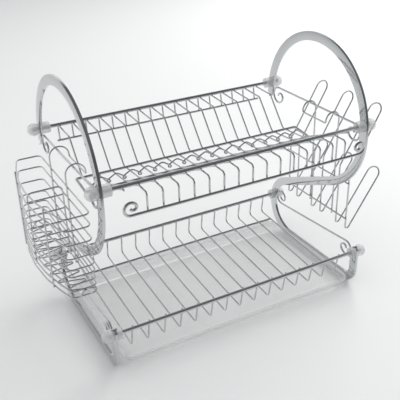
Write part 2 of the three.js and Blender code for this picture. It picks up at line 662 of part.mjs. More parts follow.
// A wire that rises behind the frame, hooks over the side rail twice and falls again.
function hookWire(outerX, inside, middleY, spacing, footZ, diameter) {
  const innerX = Math.sign(outerX) * (barPlaneX - inside);
  const half = Math.abs(outerX - innerX) / 2;
  const arch = half - BEND_SPARE;
  const reach = half * Math.cos((HOOK_STEP * DEGREE) / 2) - (diameter + SIDE_WIRE) / 2 - SEAT_GAP;
  const railAside = inside - half;
  const topZ = sideRailZ - Math.sqrt(reach ** 2 - railAside ** 2) + half;
  const legZ = topZ - arch - HOOK_LEG;
  const near = middleY - spacing / 2;
  const far = middleY + spacing / 2;
  const corners = [
    new THREE.Vector3(outerX, near, footZ),
    new THREE.Vector3(outerX, near, topZ),
    new THREE.Vector3(innerX, near, topZ),
    new THREE.Vector3(innerX, near, legZ),
    new THREE.Vector3(innerX, far, legZ),
    new THREE.Vector3(innerX, far, topZ),
    new THREE.Vector3(outerX, far, topZ),
    new THREE.Vector3(outerX, far, footZ),
  ];
  const bends = [0, arch, arch, HOOK_FOOT_BEND, HOOK_FOOT_BEND, arch, arch, 0];
  return wire(bent(corners, bends, false, HOOK_STEP), diameter, WIRE_SIDES);
}

// Cage of the cutlery basket: rings, outer posts and the hook wire.
function basketCage() {
  const beside = BASKET_WIRE - WELD_BITE;
  const footZ = basketBottomZ - BASKET_WIRE / 2;
  const pieces = BASKET_RING_SHARES.map((share) => basketRing(basketTopZ - BASKET_HEIGHT * share));
  const hooksY = basketMiddleY + BASKET_HOOKS_BEHIND;
  const hooks = [-basketInnerX - beside, BASKET_HOOK_INSIDE, hooksY, BASKET_HOOK_SPACING];
  pieces.push(hookWire(...hooks, footZ, BASKET_WIRE));
  for (const end of [-1, 1]) {
    const y = basketMiddleY + (end * BASKET_POST_SPACING) / 2;
    const x = -bowX(y) - beside + WELD_BITE;
    pieces.push(wire([
      new THREE.Vector3(x, y, footZ),
      new THREE.Vector3(x, y, basketTopZ + BASKET_WIRE / 2),
    ], BASKET_WIRE, WIRE_SIDES));
    pieces.push(endBrace(basketMiddleY + end * (BASKET_DEPTH / 2 + beside)));
  }
  return join(pieces);
}

// V-shaped brace between the two lowest rings at one end of the basket.
function endBrace(y) {
  const [lowest, second] = BASKET_RING_SHARES.slice().reverse();
  const acrossShares = [0.25, 0.5, 0.75];
  const riseShares = [0, lowest - second, 0];
  const corners = acrossShares.map((share, index) => {
    const x = -basketInnerX - BASKET_END_WIDTH * share;
    return new THREE.Vector3(x, y, basketBottomZ + BASKET_HEIGHT * riseShares[index]);
  });
  return wire(bent(corners, BASKET_WIRE), BASKET_WIRE, THIN_SIDES);
}

// Divider between the two compartments of the basket.
function basketDivider() {
  const clear = BASKET_WIRE + SEAT_GAP;
  const innerX = -basketInnerX - clear;
  const outerX = -bowX(dividerY) + clear + SEAT_GAP;
  const bottomZ = basketBottomZ + clear;
  const topZ = basketTopZ - DIVIDER_TOP_DROP;
  const pieces = [wire(bent([
    new THREE.Vector3(innerX, dividerY, bottomZ),
    new THREE.Vector3(innerX, dividerY, topZ),
    new THREE.Vector3(outerX, dividerY, topZ),
    new THREE.Vector3(outerX, dividerY, bottomZ),
  ], DIVIDER_BEND), BASKET_WIRE, WIRE_SIDES)];
  for (const share of BASKET_RING_SHARES.slice(1, 1 + DIVIDER_BARS)) {
    const z = basketTopZ - BASKET_HEIGHT * share;
    const ends = [innerX, outerX].map((x) => new THREE.Vector3(x, dividerY, z));
    pieces.push(wire(ends, BASKET_WIRE, WIRE_SIDES));
  }
  return join(pieces);
}

// Zigzag wire that lies on the lowest ring as the floor of the basket.
function basketFloor() {
  const z = basketBottomZ + BASKET_WIRE + SEAT_GAP;
  const startY = BASKET_FRONT_Y + FLOOR_INSET;
  const step = (BASKET_DEPTH - 2 * FLOOR_INSET) / (2 * FLOOR_PEAKS);
  const corners = [];
  for (let turn = 0; turn <= 2 * FLOOR_PEAKS; turn += 1) {
    const y = startY + turn * step;
    const x = turn % 2 === 0 ? -basketInnerX : -bowX(y) + BASKET_WIRE / 2;
    corners.push(new THREE.Vector3(x, y, z));
  }
  return wire(bent(corners, BASKET_WIRE), BASKET_WIRE, THIN_SIDES);
}

// Back of the cup holder: the hook wire and two bars welded behind it.
function cupBack() {
  const postX = cupBackX + CUP_WIRE - WELD_BITE;
  const bars = [CUP_UPPER_BAR_DROP, CUP_LOWER_BAR_DROP].map((drop) => {
    const ends = [-1, 1].map((end) => {
      const y = CUP_MIDDLE_Y + (end * CUP_BAR_LENGTH) / 2;
      return new THREE.Vector3(cupBackX, y, sideRailZ - drop);
    });
    return wire(ends, CUP_WIRE);
  });
  const hooks = [postX, CUP_HOOK_INSIDE, CUP_MIDDLE_Y - CUP_HOOKS_AHEAD, CUP_HOOK_SPACING];
  return join([hookWire(...hooks, sideRailZ - CUP_POST_DROP, CUP_WIRE), ...bars]);
}

// One closed wire with an upper and a lower peg for cups.
function pegLoop(y) {
  const backX = cupBackX + CUP_WIRE + SEAT_GAP;
  const side = [
    [cupBackX + PEG_UPPER_REACH, sideRailZ + PEG_UPPER_TIP_RISE],
    [backX, sideRailZ - PEG_ELBOW_DROP],
    [backX, sideRailZ - PEG_FOOT_DROP],
    [cupBackX + PEG_LOWER_REACH, sideRailZ - PEG_LOWER_TIP_DROP],
  ];
  const near = side.map(([x, z]) => new THREE.Vector3(x, y - PEG_HALF_WIDTH, z));
  const far = side.map(([x, z]) => new THREE.Vector3(x, y + PEG_HALF_WIDTH, z)).reverse();
  const tip = PEG_HALF_WIDTH - BEND_SPARE;
  const bends = [tip, PEG_ELBOW_BEND, PEG_FOOT_BEND, tip];
  return ring(bent([...near, ...far], [...bends, ...bends.slice().reverse()], true, FINE_STEP), CUP_WIRE);
}

// Corners of a level rounded rectangle, drawn in from the tray's rim by an inset.
function trayRing(inset, z) {
  const steps = 5;
  const radius = TRAY_CORNER - inset;
  const quarters = [
    [trayHalfWidth - TRAY_CORNER, trayRearY - TRAY_CORNER, 0],
    [TRAY_CORNER - trayHalfWidth, trayRearY - TRAY_CORNER, 90],
    [TRAY_CORNER - trayHalfWidth, trayFrontY + TRAY_CORNER, 180],
    [trayHalfWidth - TRAY_CORNER, trayFrontY + TRAY_CORNER, 270],
  ];
  const points = [];
  for (const [x, y, start] of quarters) {
    for (let step = 0; step <= steps; step += 1) {
      const angle = (start + (90 * step) / steps) * DEGREE;
      points.push(new THREE.Vector3(x + radius * Math.cos(angle), y + radius * Math.sin(angle), z));
    }
  }
  return points;
}

// Shallow tray: one skin from the underside, round the rim, to the inner floor.
function dripTray() {
  const rings = [
    trayRing(TRAY_RIM + TRAY_DRAFT, 0),
    trayRing(TRAY_RIM, TRAY_HEIGHT - TRAY_WALL),
    trayRing(0, TRAY_HEIGHT - TRAY_WALL),
    trayRing(0, TRAY_HEIGHT),
    trayRing(TRAY_RIM + TRAY_WALL, TRAY_HEIGHT),
    trayRing(TRAY_RIM + TRAY_WALL + TRAY_DRAFT, TRAY_FLOOR),
  ];
  const count = rings[0].length;
  const triangles = [];
  for (let level = 0; level + 1 < rings.length; level += 1) {
    for (let index = 0; index < count; index += 1) {
      const next = (index + 1) % count;
      const low = level * count;
      const high = low + count;
      triangles.push(low + index, low + next, high + next, low + index, high + next, high + index);
    }
  }
  const top = (rings.length - 1) * count;
  for (let index = 1; index + 1 < count; index += 1) {
    triangles.push(0, index + 1, index);
    triangles.push(top, top + index, top + index + 1);
  }
  const geometry = new THREE.BufferGeometry().setFromPoints(rings.flat());
  geometry.setIndex(triangles);
  geometry.computeVertexNormals();
  return geometry;
}

// Side frames, knobs and collars
const railEnds = [
  ['upper_front', upperFront, UPPER_COLLAR_LENGTH],
  ['upper_rear', upperRear, UPPER_COLLAR_LENGTH],
  ['lower_front', lowerFront, LOWER_COLLAR_LENGTH],
  ['lower_rear', lowerRear, LOWER_COLLAR_LENGTH],
];
for (const [side, sign] of [['left', -1], ['right', 1]]) {
  place(`${side}_side_frame`, sideFrame()).position.x = sign * barPlaneX;
  place(`${side}_upper_side_rail`, upperSideRail(sign * barPlaneX));
  place(`${side}_lower_side_rail`, lowerSideRail(sign * barPlaneX));
  for (const [corner, at, collarLength] of railEnds) {
    const ball = place(`${side}_${corner}_ball_nut`, ballNut(), CLEAR_PLASTIC);
    ball.position.set(sign * barFaceX, at.y, at.z);
    ball.rotation.y = sign > 0 ? 0 : Math.PI;
    const spacer = place(`${side}_${corner}_collar`, collar(collarLength), CLEAR_PLASTIC);
    const innerEnd = barFaceX - BAR_THICKNESS - SEAT_GAP - collarLength;
    spacer.position.set(sign * innerEnd, at.y, at.z);
    spacer.rotation.y = sign > 0 ? 0 : Math.PI;
  }
}

// Upper rack
const railHalfLength = barFaceX + RAIL_IN_KNOB;
place('upper_front_rail', crossWire(railHalfLength, upperFront, RAIL_DIAMETER));
place('upper_rear_rail', crossWire(railHalfLength, upperRear, RAIL_DIAMETER));
place('rear_lip_rail', rearLipRail());
place('trough_ring', troughRing());
place('plate_stop', plateStop());
place('scroll_lip_rail', lipRail());
for (let index = 0; index < PLATE_COUNT; index += 1) {
  const x = index * platePitch - plateRowHalf;
  const isInner = index > 0 && index < PLATE_COUNT - 1;
  place(`plate_wire_${String(index + 1).padStart(2, '0')}`, plateWire(x, isInner));
}

// Lower rack and tray
place('lower_front_rail', crossWire(railHalfLength, lowerFront, RAIL_DIAMETER));
place('lower_rear_rail', crossWire(railHalfLength, lowerRear, RAIL_DIAMETER));
place('lower_rack_grid', lowerGrid());
place('drip_tray', dripTray(), TRAY_PLASTIC);

// Cutlery basket
place('cutlery_basket_cage', basketCage());
place('cutlery_basket_divider', basketDivider());
place('cutlery_basket_floor', basketFloor());

// Cup holder
place('cup_holder_back', cupBack());
for (const step of [-1, 0, 1]) {
  place(`cup_peg_loop_${step + 2}`, pegLoop(CUP_MIDDLE_Y + step * PEG_PITCH));
}

// The part's own origin is below the middle of its box, on the floor.
rack.updateMatrixWorld(true);
const box = new THREE.Box3().setFromObject(rack);
const middle = box.getCenter(new THREE.Vector3());
rack.position.set(-middle.x, -middle.y, -box.min.z);

export default rack;
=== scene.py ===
import math

import bpy
from mathutils import Matrix, Vector


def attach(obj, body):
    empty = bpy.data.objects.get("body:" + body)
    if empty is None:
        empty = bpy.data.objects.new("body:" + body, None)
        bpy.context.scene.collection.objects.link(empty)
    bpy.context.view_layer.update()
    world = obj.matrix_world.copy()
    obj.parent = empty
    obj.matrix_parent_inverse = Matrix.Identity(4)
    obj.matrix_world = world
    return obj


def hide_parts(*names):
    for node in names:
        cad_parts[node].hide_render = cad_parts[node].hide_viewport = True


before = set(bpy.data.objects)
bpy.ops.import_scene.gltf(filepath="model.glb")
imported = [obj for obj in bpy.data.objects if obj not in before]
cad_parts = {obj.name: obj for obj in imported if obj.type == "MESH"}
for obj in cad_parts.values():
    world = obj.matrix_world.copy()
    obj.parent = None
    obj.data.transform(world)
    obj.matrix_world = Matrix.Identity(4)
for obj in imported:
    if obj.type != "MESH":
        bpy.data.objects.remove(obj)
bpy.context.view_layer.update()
bpy.ops.object.select_all(action="DESELECT")

# Side frames
# Each is one steel flat bar, 14 by 4 mm, bent on edge into an arch, a long diagonal and a foot,
# with rounded ends and edges, polished and chrome plated.
MIDDLE_X = -5.002
FRAME_REACH = 205.0
BAR_THICKNESS = 4.0
BAR_WIDTH = 14.0
BAR_EDGE = 0.8
BAR_END_CORNER = 6.6
END_CORNER_STEPS = 6
TAIL = (127.78, 248.0)
TAIL_LENGTH = 7.0
ARCH = (120.0, 180.0)
ARCH_TO_BEND = 5.0
FRONT_BEND = (100.0, 67.034)
DIAGONAL_LENGTH = 140.67
HEEL_BEND = (50.0, 157.034)
FLOOR_RUN_LENGTH = 155.0
FOOT_BEND = (20.0, 90.0)
LEG_LENGTH = 42.0
BAR_STEP = 3.0
CLOSE_ENOUGH = 0.1
MERGE_WITHIN = 0.001
ROUNDING_STEPS = 3
ROUNDED_ABOVE = 50
SMOOTH_BELOW = 40
AXIS_X = Vector((1, 0, 0))
AXIS_Y = Vector((0, 1, 0))
AXIS_Z = Vector((0, 0, 1))
CHROME_LIGHT = "#D6D8D9"
CHROME_SHADE = "#C8CACB"
SMEAR_SIZE = 62.5
SMEAR_EDGE = (0.35, 0.75)
SMEAR_DULLING = 1.8
DROP_SPACING = 14.3
DROP_EDGE = (0.1, 0.2)
DROP_DULLNESS = 0.03
RIPPLE_LENGTH = 3.33
RIPPLE_DEPTH = 0.1


def mm(value):
    """A length, point or list of numbers in millimetres, in metres."""
    return value / 1000 if isinstance(value, (int, float)) else Vector(value) / 1000


def colour(code):
    """An sRGB hex colour as linear red, green, blue and alpha."""
    shares = [int(code[at:at + 2], 16) / 255 for at in (1, 3, 5)]
    return [s / 12.92 if s <= 0.04045 else ((s + 0.055) / 1.055) ** 2.4 for s in shares] + [1.0]


def per_metre(size):
    """The scale of a pattern that has one patch for each length of a size in millimetres."""
    return 1000 / size


def add(tree, kind, inputs=(), **settings):
    """Adds one node with its settings, and sets or links its inputs, given as socket and value."""
    node = tree.nodes.new(kind)
    for name, value in settings.items():
        setattr(node, name, value)
    for socket, value in dict(inputs).items():
        if isinstance(value, bpy.types.NodeSocket):
            tree.links.new(value, node.inputs[socket])
        else:
            node.inputs[socket].default_value = value
    return node


def plated_steel(name, polish, ripple):
    """Chrome plate on polished steel: bright, with faint smears, dried drops and a fine ripple.

    The ripple is the slight waviness of the plate, which bends the mirrored edges of the room.
    """
    material = bpy.data.materials.new(name)
    material.use_nodes = True
    tree = material.node_tree
    shader = tree.nodes["Principled BSDF"]
    place = add(tree, "ShaderNodeTexCoord").outputs["Object"]
    smear = add(tree, "ShaderNodeTexNoise", {
        "Vector": place, "Scale": per_metre(SMEAR_SIZE), "Detail": 3})
    drops = add(tree, "ShaderNodeTexVoronoi", {
        "Vector": place, "Scale": per_metre(DROP_SPACING)}, feature="F1")
    spots = add(tree, "ShaderNodeMapRange", {
        "Value": drops.outputs["Distance"], "From Min": DROP_EDGE[0], "From Max": DROP_EDGE[1],
        "To Min": 1.0, "To Max": 0.0})
    waves = add(tree, "ShaderNodeTexNoise", {
        "Vector": place, "Scale": per_metre(RIPPLE_LENGTH), "Detail": 2})
    tone = add(tree, "ShaderNodeMix", {
        "Factor": smear.outputs["Fac"], "A": colour(CHROME_LIGHT), "B": colour(CHROME_SHADE)},
        data_type="RGBA")
    dull = add(tree, "ShaderNodeMapRange", {
        "Value": smear.outputs["Fac"], "From Min": SMEAR_EDGE[0], "From Max": SMEAR_EDGE[1],
        "To Min": polish, "To Max": polish * SMEAR_DULLING})
    spotted = add(tree, "ShaderNodeMath", {
        0: spots.outputs["Result"], 1: DROP_DULLNESS, 2: dull.outputs["Result"]},
        operation="MULTIPLY_ADD")
    bump = add(tree, "ShaderNodeBump", {
        "Height": waves.outputs["Fac"], "Strength": ripple, "Distance": mm(RIPPLE_DEPTH)})
    tree.links.new(tone.outputs["Result"], shader.inputs["Base Color"])
    tree.links.new(spotted.outputs["Value"], shader.inputs["Roughness"])
    tree.links.new(bump.outputs["Normal"], shader.inputs["Normal"])
    shader.inputs["Metallic"].default_value = 1.0
    return material


def bend_centre(at, heading, radius, axis):
    """The middle of the former that the metal is bent round."""
    return at + mm(radius) * axis.cross(heading)


def walk(at, heading, moves):
    """Where a run of straights and bends ends, and its heading there."""
    for move in moves:
        if isinstance(move, (int, float)):
            at = at + mm(move) * heading
            continue
        radius, degrees, axis = move
        centre = bend_centre(at, heading, radius, axis)
        turn = Matrix.Rotation(math.radians(degrees), 3, axis)
        at = centre + turn @ (at - centre)
        heading = (turn @ heading).normalized()
    return at, heading


def run_section(at, heading, moves, step=BAR_STEP):
    """Draws the selected section along straights and bends, as a bending machine feeds the metal."""
    for move in moves:
        if isinstance(move, (int, float)):
            bpy.ops.mesh.extrude_edges_move(TRANSFORM_OT_translate={"value": mm(move) * heading})
        else:
            radius, degrees, axis = move
            bpy.ops.mesh.spin(
                steps=max(1, math.ceil(degrees / step)), angle=-math.radians(degrees),
                center=bend_centre(at, heading, radius, axis), axis=axis)
        at, heading = walk(at, heading, [move])
    return at, heading


def select_edges(piece, test):
    """In edit mode, selects the edges whose two ends pass a test."""
    bpy.ops.mesh.select_all(action="DESELECT")
    bpy.ops.object.mode_set(mode="OBJECT")
    corners = piece.data.vertices
    for edge in piece.data.edges:
        edge.select = test(*(corners[index].co for index in edge.vertices))
    bpy.ops.object.mode_set(mode="EDIT")


def seal(rounding=0, smooth_below=SMOOTH_BELOW):
    """Caps the open ends, turns the faces outwards, rounds the sharp edges and smooths the rest."""
    piece = bpy.context.object
    bpy.ops.mesh.select_all(action="SELECT")
    bpy.ops.mesh.remove_doubles(threshold=mm(MERGE_WITHIN))
    bpy.ops.mesh.fill_holes(sides=0)
    bpy.ops.mesh.select_all(action="SELECT")
    bpy.ops.mesh.normals_make_consistent(inside=False)
    bpy.ops.object.mode_set(mode="OBJECT")
    if rounding:
        bevel = piece.modifiers.new("rounding", "BEVEL")
        bevel.width = mm(rounding)
        bevel.segments = ROUNDING_STEPS
        bevel.limit_method = "ANGLE"
        bevel.angle_limit = math.radians(ROUNDED_ABOVE)
        bpy.ops.object.modifier_apply(modifier=bevel.name)
    bpy.ops.object.shade_smooth_by_angle(angle=math.radians(smooth_below))
    return piece


def hand_over(piece, name, material, slot, body, *nodes):
    """Names a finished piece, gives it its finish, hides the parts that it stands for and hangs it on what
    it rides on.
    """
    piece.name = name
    piece.data.name = name
    piece.data.materials.clear()
    piece.data.materials.append(material)
    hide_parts(*nodes)
    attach(piece, body)


def bent_bar(x):
    """One side frame, from the rear tail of its arch to the top of its front leg."""
    bpy.ops.mesh.primitive_plane_add(size=1, location=mm((x, *TAIL)))
    bar = bpy.context.object
    bar.scale = (mm(BAR_THICKNESS), mm(BAR_WIDTH), 1)
    bpy.ops.object.transform_apply(location=True, rotation=True, scale=True)
    bpy.ops.object.mode_set(mode="EDIT")
    bpy.ops.mesh.delete(type="ONLY_FACE")
    bpy.ops.mesh.select_all(action="SELECT")
    top, _ = run_section(mm((x, *TAIL)), AXIS_Z, [
        TAIL_LENGTH,
        (*ARCH, AXIS_X),
        ARCH_TO_BEND,
        (*FRONT_BEND, AXIS_X),
        DIAGONAL_LENGTH,
        (*HEEL_BEND, -AXIS_X),
        FLOOR_RUN_LENGTH,
        (*FOOT_BEND, -AXIS_X),
        LEG_LENGTH,
    ])
    bpy.ops.mesh.select_all(action="SELECT")
    bpy.ops.mesh.fill_holes(sides=0)

    def is_end_corner(a, b):
        """Whether an edge crosses the bar's thickness at its tail, at the rear, or at its leg's top."""
        end = mm(TAIL[1]) if a.y > 0 else top.z
        level = max(abs(a.z - end), abs(b.z - end)) < mm(CLOSE_ENOUGH)
        return level and abs(a.x - b.x) > mm(BAR_THICKNESS) / 2

    select_edges(bar, is_end_corner)
    bpy.ops.mesh.bevel(offset=mm(BAR_END_CORNER), segments=END_CORNER_STEPS, affect="EDGES")
    return seal(BAR_EDGE)


bar_chrome = plated_steel("chrome_plated_flat_bar", polish=0.07, ripple=0.004)
for side, sign in (("left", -1), ("right", 1)):
    hand_over(bent_bar(MIDDLE_X + sign * FRAME_REACH), f"{side}_side_frame_bar", bar_chrome, "chrome",
              "rack", f"{side}_side_frame")

# Cross rails
# Four straight steel rods, 5.5 mm thick, chrome plated. They pass through the frames and their
# threaded ends hold the ball nuts.
RAIL_DIAMETER = 5.5
RAIL_REACH = 216.0
RAIL_CHAMFER = 0.6
RAIL_SIDES = 20
UPPER_FRONT = (-111.111, 271.3)
UPPER_REAR = (126.419, 273.0)
LOWER_FRONT = (-116.22, 60.0)
LOWER_REAR = (107.963, 66.0)
RAILS = {
    "upper_front_rail": UPPER_FRONT,
    "upper_rear_rail": UPPER_REAR,
    "lower_front_rail": LOWER_FRONT,
    "lower_rear_rail": LOWER_REAR,
}


def lay_ring(at, heading, diameter, sides):
    """A ring of edges, the round section of a wire that starts at a point with a heading."""
    turn = heading.to_track_quat("Z", "X").to_euler()
    bpy.ops.mesh.primitive_circle_add(vertices=sides, radius=mm(diameter) / 2, location=at, rotation=turn)
    if bpy.context.mode == "OBJECT":
        bpy.ops.object.transform_apply(location=True, rotation=True, scale=True)
        bpy.ops.object.mode_set(mode="EDIT")


def straight_rod(at, reach, diameter, sides):
    """A straight rod along X, in edit mode."""
    y, z = at
    start = mm((MIDDLE_X - reach, y, z))
    lay_ring(start, AXIS_X, diameter, sides)
    run_section(start, AXIS_X, [2 * reach])


wire_chrome = plated_steel("chrome_plated_wire", polish=0.12, ripple=0.006)
for name, at in RAILS.items():
    straight_rod(at, RAIL_REACH, RAIL_DIAMETER, RAIL_SIDES)
    hand_over(seal(RAIL_CHAMFER), f"{name}_rod", wire_chrome, "chrome", "rack", name)

# Ball nuts
# Frosted clear plastic balls with a flat face against the bar, screwed onto the rail ends. Each is
# one moulding, with a socket for the rail and the small flat of its gate mark at its pole.
BAR_FACE = 207.3
BALL_RADIUS = 9.5
BALL_FACE_RADIUS = 6.5
SOCKET_RADIUS = 3.05
SOCKET_DEPTH = 9.6
SOCKET_CONE = 0.6
SOCKET_TIP_SHARE = 0.8
GATE_CUT = 0.2
BALL_SEGMENTS = 40
BALL_RINGS = 25
PLASTIC_CLEAR = "#E4E6E6"
PLASTIC_HAZE = "#EEF0F0"
PLASTIC_IOR = 1.49
HAZE_EDGE = (0.3, 0.7)
HAZE_BODY = 0.04
HAZE_DULLING = 1.2
FROST_GRAIN = 0.625
FROST_DEPTH = 0.1
FROST_STRENGTH = 0.12
RAIL_CORNERS = {
    "upper_front": UPPER_FRONT,
    "upper_rear": UPPER_REAR,
    "lower_front": LOWER_FRONT,
    "lower_rear": LOWER_REAR,
}


def frosted_plastic(name, body, frost, haze_size):
    """Moulded see-through plastic: milky from its white body, with highlights softened by its frost.

    The frost of a real mould is finer than a tenth of a millimetre, and is coarser here to show.
    """
    material = bpy.data.materials.new(name)
    material.use_nodes = True
    tree = material.node_tree
    shader = tree.nodes["Principled BSDF"]
    place = add(tree, "ShaderNodeTexCoord").outputs["Object"]
    haze = add(tree, "ShaderNodeTexNoise", {"Vector": place, "Scale": per_metre(haze_size), "Detail": 1})
    tone = add(tree, "ShaderNodeMix", {
        "Factor": haze.outputs["Fac"], "A": colour(PLASTIC_CLEAR), "B": colour(PLASTIC_HAZE)},
        data_type="RGBA")
    rough = add(tree, "ShaderNodeMapRange", {
        "Value": haze.outputs["Fac"], "From Min": HAZE_EDGE[0], "From Max": HAZE_EDGE[1],
        "To Min": frost, "To Max": frost * HAZE_DULLING})
    milk = add(tree, "ShaderNodeMapRange", {
        "Value": haze.outputs["Fac"], "From Min": HAZE_EDGE[0], "From Max": HAZE_EDGE[1],
        "To Min": body * (1 - HAZE_BODY), "To Max": body * (1 + HAZE_BODY)})
    grain = add(tree, "ShaderNodeTexNoise", {
        "Vector": place, "Scale": per_metre(FROST_GRAIN), "Detail": 2})
    bump = add(tree, "ShaderNodeBump", {
        "Height": grain.outputs["Fac"], "Strength": FROST_STRENGTH, "Distance": mm(FROST_DEPTH)})
    tree.links.new(tone.outputs["Result"], shader.inputs["Base Color"])
    tree.links.new(rough.outputs["Result"], shader.inputs["Roughness"])
    tree.links.new(bump.outputs["Normal"], shader.inputs["Normal"])
    tree.links.new(milk.outputs["Result"], shader.inputs["Alpha"])
    shader.inputs["IOR"].default_value = PLASTIC_IOR
    return material


def ball_nut():
    """One ball nut on a right-hand rail end that lies on the X axis."""
    centre = BAR_FACE + math.sqrt(BALL_RADIUS ** 2 - BALL_FACE_RADIUS ** 2)
    bpy.ops.mesh.primitive_uv_sphere_add(
        segments=BALL_SEGMENTS, ring_count=BALL_RINGS, radius=mm(BALL_RADIUS),
        location=mm((centre, 0, 0)), rotation=(0, math.pi / 2, 0))
    bpy.ops.object.transform_apply(location=True, rotation=True, scale=True)
    ball = bpy.context.object
    bpy.ops.object.mode_set(mode="EDIT")
    pole = mm(centre + BALL_RADIUS)
    select_edges(ball, lambda a, b: min(a.x, b.x) > pole - mm(GATE_CUT))
    bpy.ops.mesh.delete(type="VERT")
    bpy.ops.mesh.select_all(action="SELECT")
    bpy.ops.mesh.fill_holes(sides=0)
    bpy.ops.mesh.select_all(action="SELECT")
    bpy.ops.mesh.bisect(plane_co=mm((BAR_FACE, 0, 0)), plane_no=AXIS_X, clear_inner=True)
    select_edges(ball, lambda a, b: max(a.x, b.x) < mm(BAR_FACE + CLOSE_ENOUGH))
    inwards = SOCKET_RADIUS / BALL_FACE_RADIUS
    bpy.ops.mesh.extrude_edges_move()
    bpy.ops.transform.resize(value=(1, inwards, inwards), center_override=mm((BAR_FACE, 0, 0)))
    for depth in (SOCKET_DEPTH - SOCKET_CONE, SOCKET_CONE):
        bpy.ops.mesh.extrude_edges_move(TRANSFORM_OT_translate={"value": mm((depth, 0, 0))})
    bpy.ops.transform.resize(value=(1, SOCKET_TIP_SHARE, SOCKET_TIP_SHARE),
                             center_override=mm((BAR_FACE, 0, 0)))
    return seal()


def copy_to(piece, shift, mirrored=False):
    """A copy of a finished piece, with its own mesh, moved or mirrored to its place."""
    bpy.ops.object.select_all(action="DESELECT")
    piece.select_set(True)
    bpy.context.view_layer.objects.active = piece
    bpy.ops.object.duplicate(linked=False)
    copy = bpy.context.object
    copy.scale.x = -1 if mirrored else 1
    copy.location = mm(shift)
    bpy.ops.object.transform_apply(location=True, rotation=True, scale=True)
    if mirrored:
        bpy.ops.object.mode_set(mode="EDIT")
        bpy.ops.mesh.select_all(action="SELECT")
        bpy.ops.mesh.normals_make_consistent(inside=False)
        bpy.ops.object.mode_set(mode="OBJECT")
    return copy


nut_plastic = frosted_plastic("frosted_clear_acrylic", body=0.48, frost=0.14, haze_size=16.7)
first_nut = ball_nut()
for side in ("left", "right"):
    for corner, at in RAIL_CORNERS.items():
        nut = copy_to(first_nut, (MIDDLE_X, *at), side == "left")
        hand_over(nut, f"{side}_{corner}_ball_nut_moulding", nut_plastic, "clear_plastic", "rack",
                  f"{side}_{corner}_ball_nut")
bpy.data.objects.remove(first_nut)

# Spacer collars
# Thick frosted plastic washers between the inner face of each bar and the rack. The upper ones are
# 12 mm long and the lower ones 7 mm, with a rounded rim and a shallow step round the bore.
COLLAR_FACE = 202.7
COLLAR_RADIUS = 8.5
COLLAR_ROUNDING = 0.63
COLLAR_SIDES = 40
COLLAR_STEP_RADIUS = 5.4
COLLAR_STEP_DEPTH = 0.7
UPPER_COLLAR_LENGTH = 12.0
LOWER_COLLAR_LENGTH = 7.0


def collar(length):
    """One collar on a right-hand rail end that lies on the X axis, turned as a ring from its profile."""
    inner = COLLAR_FACE - length
    lay_ring(mm((inner + COLLAR_STEP_DEPTH, 0, 0)), AXIS_X, 2 * SOCKET_RADIUS, COLLAR_SIDES)
    profile = [
        (inner + COLLAR_STEP_DEPTH, COLLAR_STEP_RADIUS),
        (inner, COLLAR_STEP_RADIUS),
        (inner, COLLAR_RADIUS),
        (COLLAR_FACE, COLLAR_RADIUS),
        (COLLAR_FACE, SOCKET_RADIUS),
        (inner + COLLAR_STEP_DEPTH, SOCKET_RADIUS),
    ]
    here, radius = inner + COLLAR_STEP_DEPTH, SOCKET_RADIUS
    for place, next_radius in profile:
        bpy.ops.mesh.extrude_edges_move(TRANSFORM_OT_translate={"value": mm((place - here, 0, 0))})
        ratio = next_radius / radius
        bpy.ops.transform.resize(value=(1, ratio, ratio), center_override=mm((place, 0, 0)))
        here, radius = place, next_radius
    return seal(COLLAR_ROUNDING)


for length, level in ((UPPER_COLLAR_LENGTH, "upper"), (LOWER_COLLAR_LENGTH, "lower")):
    first_collar = collar(length)
    for side in ("left", "right"):
        for end in ("front", "rear"):
            corner = f"{level}_{end}"
            spacer = copy_to(first_collar, (MIDDLE_X, *RAIL_CORNERS[corner]), side == "left")
            hand_over(spacer, f"{side}_{corner}_collar_moulding", nut_plastic, "clear_plastic", "rack",
                      f"{side}_{corner}_collar")
    bpy.data.objects.remove(first_collar)

# Side rails
# Chromed wire, 3.2 mm thick, scrolled at both ends by winding it round two formers. They lie inside
# the arch and the heel of each frame, welded to the bar where the scrolls meet it.
SIDE_WIRE = 3.2
SIDE_SIDES = 16
CURL = 6.5
SCROLL_SWEEP = 250.0
CURL_SWEEP = 190.0
SCROLL_STEP = 8.0
UPPER_SCROLL = 13.0
UPPER_RUN_FRONT = (-90.32, 268.0)
UPPER_RUN_LENGTH = 196.2
LOWER_SCROLL = 12.0
LOWER_RUN_FRONT = (-94.342, 68.960)
LOWER_RUN_REAR = (85.129, 55.040)
WIRE_END = 0.4


def draw_wire(start, heading, moves, diameter, sides, lead=(), step=SCROLL_STEP):
    """Bends one wire from a start point. The lead is what comes before it, as seen going back."""
    if lead:
        start, back = walk(start, -heading, lead)
        heading = -back
        turned = [m if isinstance(m, (int, float)) else (m[0], m[1], -m[2]) for m in reversed(lead)]
        moves = [*turned, *moves]
    lay_ring(start, heading, diameter, sides)
    return run_section(start, heading, moves, step)


